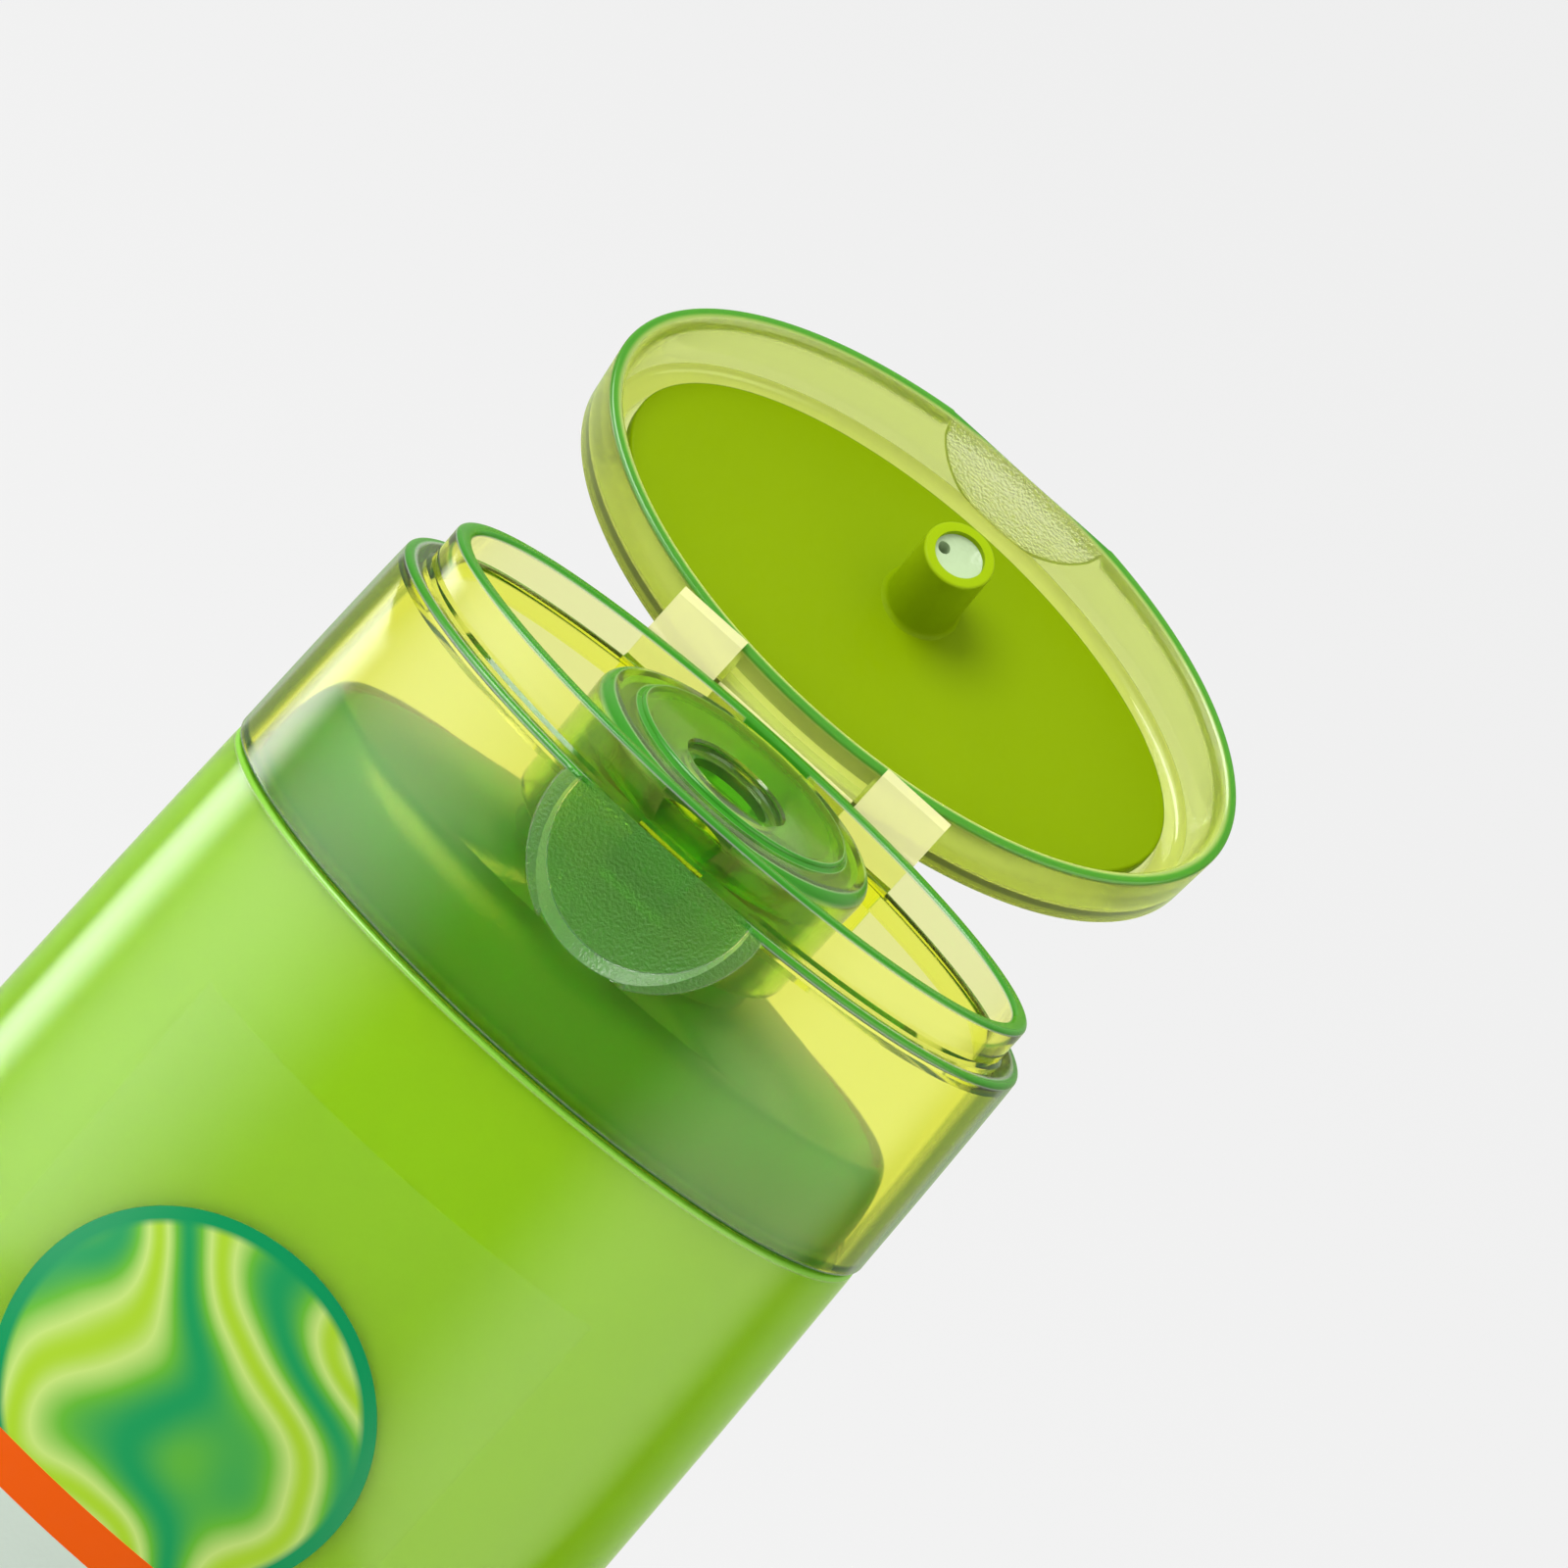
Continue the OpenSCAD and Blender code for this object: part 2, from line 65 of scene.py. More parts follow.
body_height = 125 * MM
body_width = 64.6 * MM
body_depth = 37.4 * MM
widest_height = 55 * MM
bottle_wall = 1.1 * MM
shoulder_wall = 1.7 * MM      # blown plastic stays thicker up here
ledge_wall = 0.5 * MM
foot_radius = 3.4 * MM
foot_recess = 1.0 * MM
foot_ring = 2.4 * MM
shoulder_side, shoulder_round = 8.0 * MM, 6.0 * MM
shoulder_draw_a, shoulder_draw_b = 2.0 * MM, 4.0 * MM
neck_r = 11.0 * MM
neck_wall = 1.6 * MM
snap_bead = 0.35 * MM

# %% Sizes of the cap and the lid
cap_gap = 0.25 * MM
cap_height = 19.4 * MM
cap_a, cap_b = 31.0 * MM, 18.0 * MM       # half sizes at the lower edge
top_a, top_b = 30.3 * MM, 16.4 * MM       # half sizes at the parting line
lip_a, lip_b = 28.25 * MM, 14.0 * MM
joint_a, joint_b = 30.85 * MM, 17.85 * MM  # half sizes of the bottle at the joint
cap_wall = 1.8 * MM
cap_edge = 0.4 * MM
lip_height = 3.5 * MM
lip_wall = 1.4 * MM
parting_z = body_height + cap_gap + cap_height
shoulder_z = 135.0 * MM
boss_z = parting_z + 3.7 * MM
plate_under = boss_z - 1.8 * MM
collar_r = 12.85 * MM
collar_low_r = 12.45 * MM
collar_in = 11.4 * MM
outlet_y = -3.2 * MM
outlet_r = 3.5 * MM

open_angle = math.radians(144)
hinge_y, hinge_z = 18.4 * MM, 146.75 * MM
lid_height = 8.0 * MM
lid_wall = 1.5 * MM
lid_plate = 1.4 * MM
lid_taper = 0.3 * MM
parting_gap = 0.12 * MM
low_z = body_height + cap_gap
lid_low, lid_top = parting_z + parting_gap, parting_z + lid_height
shelf = boss_z - 0.5 * MM
disc_r = 9.75 * MM
insert_a, insert_b = 26.4 * MM, 12.5 * MM
insert_thickness = 1.35 * MM
print("Parting line at", round(parting_z, 5), "hinge at", hinge_y, hinge_z)

# %% [markdown]
# ## Camera
#
# The photograph was taken with a long lens from just above, and the camera was rolled. `back` is
# the direction from the cap to the camera, and rolling turns the other two axes round it.

# %% Camera
azimuth, elevation, roll = (math.radians(a) for a in (1.8575, 16.6003, 41.4677))
back = Vector((math.sin(azimuth) * math.cos(elevation), -math.cos(azimuth) * math.cos(elevation),
               math.sin(elevation)))
level = Vector((math.cos(azimuth), math.sin(azimuth), 0))
upright = back.cross(level)
right = math.cos(roll) * level + math.sin(roll) * upright
up = -math.sin(roll) * level + math.cos(roll) * upright
distance, shift_right, shift_up = 0.730295, 0.0051684, 0.0019106
focal_px, picture_px, sensor_mm = 10007.73, 1600, 36
standpoint = Vector((0, 0, parting_z)) + back * distance + right * shift_right + up * shift_up

bpy.ops.object.camera_add(location=standpoint)
camera = bpy.context.active_object
camera.name = "camera"
camera.matrix_world = Matrix((right, up, back)).transposed().to_4x4()
camera.location = standpoint
camera.data.lens = focal_px / picture_px * sensor_mm
camera.data.sensor_width = sensor_mm
camera.data.clip_start = 0.05
bpy.context.scene.camera = camera
print("Camera at", [round(v, 4) for v in camera.location], "lens", round(camera.data.lens, 1))

# %% [markdown]
# ## Helpers
#
# `loft` does by code what we would do by hand: add a circle, scale it to an oval, then extrude,
# lift and scale it once for each section. A `ring` loft joins its last oval to its first, so it
# closes on itself like a tyre. Any other loft gets a flat face on each end.

# %% Loft
def only(piece):
    """Makes piece the one selected and active object."""
    bpy.ops.object.select_all(action="DESELECT")
    piece.select_set(True)
    bpy.context.view_layer.objects.active = piece


def loft(name, sections, ring=False, y=0.0, sides=SIDES):
    """A closed piece through ovals, each given by its half-axes a and b and its height z."""
    bpy.ops.object.select_all(action="DESELECT")
    bpy.ops.mesh.primitive_circle_add(vertices=sides, radius=1)
    piece = bpy.context.active_object
    piece.name = piece.data.name = name
    bpy.ops.object.mode_set(mode="EDIT")
    bpy.ops.mesh.select_all(action="SELECT")
    a0, b0, z0 = sections[0]
    bpy.ops.transform.resize(value=(a0, b0, 1), center_override=(0, 0, 0))
    bpy.ops.transform.translate(value=(0, y, z0))
    for a, b, z in sections[1:]:
        bpy.ops.mesh.extrude_region_move(TRANSFORM_OT_translate={"value": (0, 0, z - z0)})
        bpy.ops.transform.resize(value=(a / a0, b / b0, 1), center_override=(0, y, z))
        a0, b0, z0 = a, b, z
    bpy.ops.mesh.select_all(action="DESELECT")
    bpy.ops.mesh.select_non_manifold(use_wire=False, use_multi_face=False,
                                     use_non_contiguous=False, use_verts=False)
    if ring:
        bpy.ops.mesh.bridge_edge_loops()
    else:
        bpy.ops.mesh.fill_holes(sides=0)
    bpy.ops.mesh.select_all(action="SELECT")
    bpy.ops.mesh.normals_make_consistent(inside=False)
    bpy.ops.object.mode_set(mode="OBJECT")
    return piece


def rounding(a, b, z, r, rise=1):
    """Sections of a quarter round of radius r that ends at height z, rising or falling."""
    out = []
    for i in range(TURNS + 1):
        t = math.radians(90 * i / TURNS)
        out.append((a - r + r * math.cos(t), b - r + r * math.cos(t), z - rise * (r - r * math.sin(t))))
    return out


def block(name, low, high):
    """A box between two corners."""
    bpy.ops.object.select_all(action="DESELECT")
    bpy.ops.mesh.primitive_cube_add(size=1)
    piece = bpy.context.active_object
    piece.name = piece.data.name = name
    bpy.ops.object.mode_set(mode="EDIT")
    bpy.ops.mesh.select_all(action="SELECT")
    bpy.ops.transform.resize(value=[h - l for l, h in zip(low, high)], center_override=(0, 0, 0))
    bpy.ops.transform.translate(value=[(l + h) / 2 for l, h in zip(low, high)])
    bpy.ops.object.mode_set(mode="OBJECT")
    return piece


def boolean(piece, tool, operation):
    """Joins tool to piece or cuts it out, and removes the tool."""
    only(piece)
    step = piece.modifiers.new("Boolean", "BOOLEAN")
    step.operation = operation
    step.solver = "EXACT"
    step.object = tool
    bpy.ops.object.modifier_apply(modifier=step.name)
    bpy.data.objects.remove(tool)


def smooth(piece):
    """Shades the piece smooth, with crisp edges where faces meet at more than 30 degrees."""
    only(piece)
    bpy.ops.object.shade_smooth_by_angle(angle=math.radians(30))
    print(piece.name, "has", len(piece.data.polygons), "faces")


def open_lid(piece):
    """Turns a piece drawn for the closed lid round the hinge, into the open pose."""
    only(piece)
    hinge = Vector((0, hinge_y, hinge_z))
    piece.matrix_world = (Matrix.Translation(hinge) @ Matrix.Rotation(-open_angle, 4, "X")
                          @ Matrix.Translation(-hinge))
    bpy.ops.object.transform_apply(location=True, rotation=True, scale=True)


# %% [markdown]
# ## Materials
#
# The cap is a clear plastic. Its colour comes from *volume absorption*: light that travels further
# through it loses more blue and red, so thin walls look pale yellow and the edges deep green. The
# bottle works the same way with a stronger green, over a pale cream.

# %% Node helpers
def shader(name):
    """A new material, and its Principled shader, node tree and output."""
    material = bpy.data.materials.new(name)
    material.use_nodes = True
    nodes = material.node_tree.nodes
    return material, nodes["Principled BSDF"], material.node_tree, nodes["Material Output"]


def add(tree, kind, **values):
    """Adds a node and sets its inputs by name, or its own settings."""
    node = tree.nodes.new(kind)
    for key, value in values.items():
        name = key.replace("_", " ").title()
        if name in node.inputs:
            node.inputs[name].default_value = value
        else:
            setattr(node, key, value)
    return node


def wander(tree, scale, low, high):
    """A number that wanders between low and high with a noise of the given scale, per metre."""
    place = add(tree, "ShaderNodeTexCoord")
    noise = add(tree, "ShaderNodeTexNoise", scale=scale, detail=2.0)
    tree.links.new(place.outputs["Object"], noise.inputs["Vector"])
    span = add(tree, "ShaderNodeMapRange")
    span.inputs["From Min"].default_value = 0.3
    span.inputs["From Max"].default_value = 0.7
    span.inputs["To Min"].default_value = low
    span.inputs["To Max"].default_value = high
    tree.links.new(noise.outputs["Fac"], span.inputs["Value"])
    return span.outputs["Result"]


def relief(tree, principled, height, depth):
    """Bends the surface's normal by a height, depth metres deep."""
    bump = add(tree, "ShaderNodeBump", strength=1.0, distance=depth)
    tree.links.new(height, bump.inputs["Height"])
    tree.links.new(bump.outputs["Normal"], principled.inputs["Normal"])


def calc(tree, operation, a, b=0.0):
    """A sum on numbers or on other nodes' outputs."""
    node = add(tree, "ShaderNodeMath", operation=operation, use_clamp=operation == "ADD")
    for socket, value in zip(node.inputs, (a, b)):
        if isinstance(value, (int, float)):
            socket.default_value = value
        else:
            tree.links.new(value, socket)
    return node.outputs[0]


def ramp(tree, value, low, high):
    """Rises smoothly from 0 to 1 while value goes from low to high."""
    node = add(tree, "ShaderNodeMapRange", interpolation_type="SMOOTHSTEP")
    node.inputs["From Min"].default_value = low
    node.inputs["From Max"].default_value = high
    tree.links.new(value, node.inputs["Value"])
    return node.outputs["Result"]


def blend_of(tree, share, a, b):
    """Colour or number between a and b."""
    node = add(tree, "ShaderNodeMix", data_type="RGBA" if isinstance(b, tuple) else "FLOAT")
    tree.links.new(share, node.inputs["Factor"])
    for name, value in (("A", a), ("B", b)):
        socket = [i for i in node.inputs if i.name == name and i.enabled][0]
        if isinstance(value, (int, float, tuple)):
            socket.default_value = value
        else:
            tree.links.new(value, socket)
    return [o for o in node.outputs if o.enabled][0]


def clear_plastic(name, absorbed, roughness, depth, grain, haze, clear, marks=None, looks=()):
    """A see-through plastic that absorbs light per metre, given as red, green and blue.

    marks(tree) gives masks: where the surface is frosted, where it is a line of colour, and where the
    piece is deep. looks gives each of them a colour, a share of light let through and a roughness."""
    material, principled, tree, output = shader(name)
    principled.inputs["IOR"].default_value = 1.49
    rough = wander(tree, grain, roughness * 0.7, roughness * 1.3)
    height = calc(tree, "MULTIPLY", wander(tree, grain, 0.0, 1.0), depth)
    colour = haze
    if marks:
        frost, edge, deep = marks(tree)
        for mask, (tint, passed, matt) in zip([m for m in (deep, frost, edge) if m], looks):
            colour = blend_of(tree, mask, colour, tint)
            clear = blend_of(tree, mask, clear, passed)
            rough = blend_of(tree, mask, rough, matt)
        speckle = calc(tree, "MULTIPLY", wander(tree, 3800.0, 0.0, 1.0), frost)
        height = calc(tree, "ADD", height, calc(tree, "MULTIPLY", speckle, 0.045))
        tree.links.new(colour, principled.inputs["Base Color"])
        tree.links.new(clear, principled.inputs["Transmission Weight"])
    else:
        principled.inputs["Base Color"].default_value = colour
        principled.inputs["Transmission Weight"].default_value = clear
    tree.links.new(rough, principled.inputs["Roughness"])
    relief(tree, principled, height, 0.001)
    density = max(absorbed)
    volume = add(tree, "ShaderNodeVolumeAbsorption", density=density)
    volume.inputs["Color"].default_value = [1 - s / density for s in absorbed] + [1]
    tree.links.new(volume.outputs["Volume"], output.inputs["Volume"])
    return material


# %% [markdown]
# ## Masks
#
# Each clear moulding has one material, because light that enters by one volume and leaves by
# another keeps the first one's colour. What differs from place to place, such as the frosted thumb
# recess or the deep green rims, comes from masks: numbers from 0 to 1 that are worked out from the
# place on the piece. The lid's masks are turned with the lid.

# %% Masks for the cap and the lid
lean = math.atan((cap_b - top_b) / cap_height)
thumb_r, thumb_depth, thumb_drop = 8.3 * MM, 0.85 * MM, 1.1 * MM
thumb_place = Vector((0, -top_b + thumb_depth, parting_z - thumb_drop))


def object_place(tree):
    """The place on the piece, as a vector and as its three coordinates."""
    place = add(tree, "ShaderNodeTexCoord").outputs["Object"]
    split = add(tree, "ShaderNodeSeparateXYZ")
    tree.links.new(place, split.inputs[0])
    return place, split.outputs["X"], split.outputs["Y"], split.outputs["Z"]


def on_plane(tree, place, point, normal):
    """Height of a place over a plane, and its distance from a point."""
    away = add(tree, "ShaderNodeVectorMath", operation="SUBTRACT")
    tree.links.new(place, away.inputs[0])
    away.inputs[1].default_value = point
    over = add(tree, "ShaderNodeVectorMath", operation="DOT_PRODUCT")
    tree.links.new(away.outputs[0], over.inputs[0])
    over.inputs[1].default_value = normal
    far = add(tree, "ShaderNodeVectorMath", operation="LENGTH")
    tree.links.new(away.outputs[0], far.inputs[0])
    return over.outputs["Value"], far.outputs["Value"]


def floor_mask(tree, place, point, normal):
    """The thumb recess's flat floor."""
    over, far = on_plane(tree, place, point, normal)
    flat = ramp(tree, calc(tree, "ABSOLUTE", over), 0.06 * MM, 0.03 * MM)
    return calc(tree, "MULTIPLY", flat, ramp(tree, far, thumb_r, thumb_r - 0.1 * MM))


def bevel_mask(tree, place, point, normal):
    """The bevel round the thumb recess."""
    over, far = on_plane(tree, place, point, normal)
    high = calc(tree, "MULTIPLY", ramp(tree, over, 0.02 * MM, 0.10 * MM), ramp(tree, over, 0.86 * MM, 0.80 * MM))
    return calc(tree, "MULTIPLY", high, ramp(tree, far, thumb_r + 1.5 * MM, thumb_r + 1.3 * MM))


def oval_share(tree, x, y, a, b):
    """1 on the oval with half-axes a and b, less inside and more outside."""
    x2 = calc(tree, "POWER", calc(tree, "MULTIPLY", x, 1 / a), 2.0)
    y2 = calc(tree, "POWER", calc(tree, "MULTIPLY", y, 1 / b), 2.0)
    node = add(tree, "ShaderNodeMath", operation="ADD")
    tree.links.new(x2, node.inputs[0])
    tree.links.new(y2, node.inputs[1])
    return node.outputs[0]


def cap_marks(tree):
    """Frost in the thumb recess, green lines on rims and corners, and the deeper collar."""
    place, x, y, z = object_place(tree)
    outwards = Vector((0, -math.cos(lean), math.sin(lean)))
    bevel = calc(tree, "MULTIPLY", bevel_mask(tree, place, thumb_place, outwards), 0.9)
    frost = calc(tree, "ADD", floor_mask(tree, place, thumb_place, outwards), bevel)
    rim = calc(tree, "MULTIPLY", ramp(tree, z, parting_z + lip_height - 0.45 * MM, parting_z + lip_height - 0.2 * MM),
               ramp(tree, oval_share(tree, x, y, lip_a - lip_wall, lip_b - lip_wall), 0.985, 0.995))
    far = oval_share(tree, x, y, top_a, top_b)
    corner = calc(tree, "MULTIPLY", ramp(tree, z, parting_z - 0.55 * MM, parting_z - 0.3 * MM),
                  calc(tree, "MULTIPLY", ramp(tree, far, 0.93, 0.965), ramp(tree, far, 1.04, 1.02)))
    leaned = calc(tree, "MULTIPLY", calc(tree, "ADD", z, -low_z), (cap_a - top_a) / cap_height)
    side = ramp(tree, calc(tree, "ADD", calc(tree, "ABSOLUTE", x), leaned), cap_a - 0.8 * MM, cap_a - 0.1 * MM)
    foot = calc(tree, "MULTIPLY", ramp(tree, z, low_z + 0.45 * MM, low_z + 0.15 * MM),
                ramp(tree, oval_share(tree, x, y, cap_a, cap_b), 0.9, 0.94))
    radius = calc(tree, "POWER", oval_share(tree, x, y, 1.0, 1.0), 0.5)
    ring = calc(tree, "MULTIPLY", ramp(tree, z, shelf - 1.3 * MM, shelf - 0.6 * MM),
                calc(tree, "MULTIPLY", ramp(tree, radius, 11.9 * MM, 12.2 * MM),
                     ramp(tree, radius, 12.95 * MM, 12.9 * MM)))
    disc = calc(tree, "MULTIPLY", ramp(tree, radius, disc_r - 0.35 * MM, disc_r - 0.15 * MM),
                ramp(tree, radius, disc_r + 0.45 * MM, disc_r + 0.25 * MM))
    disc = calc(tree, "MULTIPLY", disc, ramp(tree, z, shelf - 0.1 * MM, shelf - 0.02 * MM))
    edge = calc(tree, "ADD", calc(tree, "ADD", rim, corner), calc(tree, "ADD", foot, calc(tree, "ADD", ring, disc)))
    edge = calc(tree, "MAXIMUM", edge, calc(tree, "MULTIPLY", side, 0.75))
    deep = ramp(tree, radius, 13.2 * MM, 13.0 * MM)
    return frost, edge, deep


def lid_marks(tree):
    """Frost on the notch's floor, the green rim, and the lid's outside with its rounded corner."""
    place, x, y, z = object_place(tree)
    turn = Matrix.Rotation(-open_angle, 4, "X")
    hinge = Vector((0, hinge_y, hinge_z))
    point = turn @ (thumb_place - hinge) + hinge
    frost = floor_mask(tree, place, point, turn @ Vector((0, -1, 0)))
    rim_point = turn @ (Vector((0, 0, lid_low)) - hinge) + hinge
    over, far = on_plane(tree, place, rim_point, turn @ Vector((0, 0, 1)))
    across, far = on_plane(tree, place, rim_point, turn @ Vector((0, 1, 0)))
    rim = calc(tree, "MULTIPLY", ramp(tree, over, 0.6 * MM, 0.1 * MM),
               ramp(tree, oval_share(tree, x, across, top_a - 0.75 * MM, top_b - 0.75 * MM), 0.96, 1.02))
    outside = ramp(tree, oval_share(tree, x, across, top_a - 0.9 * MM, top_b - 0.9 * MM), 0.99, 1.02)
    corner = calc(tree, "MULTIPLY", ramp(tree, over, lid_height - 1.5 * MM, lid_height - 1.2 * MM),
                  ramp(tree, oval_share(tree, x, across, top_a - 3.4 * MM, top_b - 3.4 * MM), 0.96, 1.02))
    return frost, rim, calc(tree, "MAXIMUM", calc(tree, "MULTIPLY", outside, 0.35), corner)


def bottle_marks(tree):
    """The shoulder, a little matt, and a painted highlight: a bright line along the joint."""
    place, x, y, z = object_place(tree)
    frost = calc(tree, "MULTIPLY", ramp(tree, z, body_height + 0.3 * MM, body_height + 1.0 * MM), 0.35)
    # Painted highlight: a bright green line along the joint's rounding.
    line = calc(tree, "MULTIPLY", ramp(tree, z, body_height - 0.5 * MM, body_height - 0.25 * MM),
                calc(tree, "MULTIPLY", ramp(tree, z, body_height + 0.2 * MM, body_height + 0.1 * MM),
                     ramp(tree, oval_share(tree, x, y, joint_a, joint_b), 0.93, 0.96)))
    return frost, line, None


print("Thumb recess at", [round(v, 4) for v in thumb_place])

# %% Plastics
cap_plastic = clear_plastic("cap_plastic", (18, 10, 540), 0.05, 0.004, 220.0, (1, 1, 1, 1), 0.995, cap_marks,
                            (((0.60, 0.90, 0.40, 1), 0.96, 0.10), ((0.17, 0.52, 0.06, 1), 0.72, 0.38),
                             ((0.030, 0.25, 0.010, 1), 0.15, 0.25)))
lid_plastic = clear_plastic("lid_plastic", (18, 8, 60), 0.06, 0.004, 220.0, (0.90, 0.98, 0.42, 1), 0.91, lid_marks,
                            (((0.95, 0.98, 0.16, 1), 0.45, 0.35), ((1.0, 1.0, 0.90, 1), 0.97, 0.30),
                             ((0.06, 0.29, 0.025, 1), 0.25, 0.20)))
strap_plastic = clear_plastic("strap_plastic", (18, 8, 100), 0.10, 0.004, 220.0, (0.97, 0.95, 0.52, 1), 0.5)
# The bottle's second look colours the painted highlight along the joint.
bottle_plastic = clear_plastic("bottle_plastic", (227, 50, 1400), 0.09, 0.006, 110.0, (0.9, 1.0, 0.5, 1), 0.985,
                               bottle_marks,
                               (((0.35, 0.85, 0.10, 1), 0.95, 0.40), ((0.30, 0.70, 0.06, 1), 0.30, 0.25)))
print("Clear plastics:", [m.name for m in bpy.data.materials if m.name.endswith("plastic")])

# %% Cream, insert and pin
cream, principled, tree, output = shader("conditioner_cream")
spot, x, y, height = object_place(tree)
# Painted shade: the cream is pale up to the joint and painted green above it, inside the cap, for the shade under the
# cap and the deeper tint of the thick shoulder plastic over it.
rise = ramp(tree, height, body_height - 0.3 * MM, body_height + 0.6 * MM)
tree.links.new(blend_of(tree, rise, (0.86, 0.90, 0.74, 1), (0.10, 0.80, 0.28, 1)),
               principled.inputs["Base Color"])
principled.inputs["Roughness"].default_value = 0.5
relief(tree, principled, wander(tree, 90.0, 0.0, 1.0), 0.0001)

insert_plastic, principled, tree, output = shader("insert_plastic")
lime = blend_of(tree, wander(tree, 60.0, 0.0, 1.0), (0.175, 0.272, 0.0001, 1), (0.185, 0.284, 0.0002, 1))
principled.inputs["Specular IOR Level"].default_value = 0.04
place, x, y, z = object_place(tree)
turn = Matrix.Rotation(-open_angle, 4, "X")
hinge = Vector((0, hinge_y, hinge_z))
# Painted highlight: the pin's colour brightens from the insert's face towards its tip, for the stronger light the pin
# catches.
face = turn @ (Vector((0, outlet_y, lid_top - lid_plate - insert_thickness)) - hinge) + hinge
over, far = on_plane(tree, place, face, turn @ Vector((0, 0, -1)))
tree.links.new(blend_of(tree, ramp(tree, over, 0.5 * MM, 8.5 * MM), lime, (0.26, 0.385, 0.002, 1)),
               principled.inputs["Base Color"])
tree.links.new(wander(tree, 900.0, 0.35, 0.5), principled.inputs["Roughness"])
relief(tree, principled, wander(tree, 1500.0, 0.0, 1.0), 0.00001)

# Painted light: a pale colour for the core that fills the pin's bore, standing for the light seen through the bore.
bore_light_paint, principled, tree, output = shader("pin_bore_light")
principled.inputs["Base Color"].default_value = (0.40, 0.52, 0.30, 1)
principled.inputs["Roughness"].default_value = 0.3
relief(tree, principled, wander(tree, 900.0, 0.0, 1.0), 0.00005)
print("Materials:", [m.name for m in bpy.data.materials])

# %% [markdown]
# ## Bottle
#
# The wall is one long loft: up the outside, over the shoulder and the neck, and down the inside.

# %% Bottle
def swell(z):
    """How far the wall has drawn in at height z: 0 where it is widest, 1 at the joint."""
    return ((z - widest_height) / (body_height - widest_height)) ** 2


def body(z, inset=0.0):
    """The oval of the body's wall at height z, set in by inset."""
    return (body_width / 2 - (body_width / 2 - joint_a) * swell(z) - inset,
            body_depth / 2 - (body_depth / 2 - joint_b) * swell(z) - inset, z)


def body_wall(low, high, inset):
    """Sections of the body from low to high."""
    steps = 24
    return [body(low + (high - low) * i / steps, inset) for i in range(steps + 1)]


step_a, step_b = 2.339 * MM, 2.710 * MM      # ledge that the cap sits on
joint_round = 0.4 * MM
touch = 0.05 * MM
foot_a, foot_b, _ = body(foot_radius)
neck_top = plate_under - 0.3 * MM
bead_z = neck_top - 2.0 * MM


def shoulder(inset, low):
    """The shoulder inside the cap: upright sides, a rounding, then a slope up to the neck."""
    a, b = joint_a - step_a - inset, joint_b - step_b - inset
    top = body_height + shoulder_side - inset
    out = [(a, b, low)]
    for i in range(2 * TURNS + 1):
        t = math.radians(45 * i / TURNS)
        out.append((a - shoulder_draw_a * (1 - math.cos(t)), b - shoulder_draw_b * (1 - math.cos(t)),
                    top - shoulder_round * (1 - math.sin(t))))
    return out


flat = foot_radius + foot_ring
outside = [(foot_a - flat - 2 * foot_recess, foot_b - flat - 2 * foot_recess, foot_recess),
           (foot_a - flat, foot_b - flat, 0.0)]
outside += rounding(foot_a, foot_b, 0.0, foot_radius, rise=-1)[::-1]
outside += body_wall(foot_radius + 1 * MM, body_height - joint_round - 0.5 * MM, 0)
outside += rounding(*body(body_height)[:2], body_height, joint_round)
outside += shoulder(0, body_height)
neck = [(neck_r, neck_r, shoulder_z), (neck_r, neck_r, bead_z - 2 * snap_bead),
        (neck_r + snap_bead, neck_r + snap_bead, bead_z),
        (neck_r, neck_r, bead_z + 2 * snap_bead), (neck_r, neck_r, neck_top),
        (neck_r - neck_wall, neck_r - neck_wall, neck_top),
        (neck_r - neck_wall, neck_r - neck_wall, shoulder_z - shoulder_wall)]
inside = shoulder(shoulder_wall, body_height - ledge_wall)[::-1]
inside += body_wall(foot_radius + bottle_wall + 2 * MM, body_height - ledge_wall - touch, bottle_wall)[::-1]
inside += rounding(foot_a - bottle_wall, foot_b - bottle_wall, foot_recess + bottle_wall, foot_radius, rise=-1)

bottle = loft("bottle_wall", outside + neck + inside)
smooth(bottle)
bottle.data.materials.append(bottle_plastic)
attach(bottle, "pack")
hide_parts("bottle")

# %% [markdown]
# ## Conditioner
#
# The cream fills the bottle. It reaches a hair into the wall, so that no film of air lies between
# the two and the cream shows right behind the plastic.

# %% Conditioner
thin = bottle_wall - touch
thick = shoulder_wall - touch
fill = rounding(foot_a - thin, foot_b - thin, foot_recess + thin, foot_radius, rise=-1)[::-1]
fill += body_wall(foot_radius + thin + 2 * MM, body_height - ledge_wall, thin)
fill += shoulder(thick, body_height - ledge_wall + touch)
mouth_r = neck_r - neck_wall + touch
fill += [(mouth_r, mouth_r, shoulder_z - thick), (mouth_r, mouth_r, parting_z - 4.1 * MM)]
cream_fill = loft("conditioner_fill", fill)
smooth(cream_fill)
cream_fill.data.materials.append(cream)
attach(cream_fill, "pack")
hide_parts("conditioner")

# %% [markdown]
# ## Cap base
#
# Skirt and lip are one ring loft. The collar with its raised disc is a second loft, the
# hinge wall is made of blocks, and Booleans join them. Then we cut the outlet and the round thumb
# recess, which leans with the wall.

# %% Skirt and lip
in_a, in_b = top_a - cap_wall, top_b - cap_wall


def skirt(z, inset=0.0):
    """The oval of the skirt at height z, set in by inset."""
    share = (z - (body_height + cap_gap)) / cap_height
    bulge = 0.05 * MM * 4 * share * (1 - share)
    return (cap_a + (top_a - cap_a) * share + bulge - inset,
            cap_b + (top_b - cap_b) * share + bulge - inset, z)


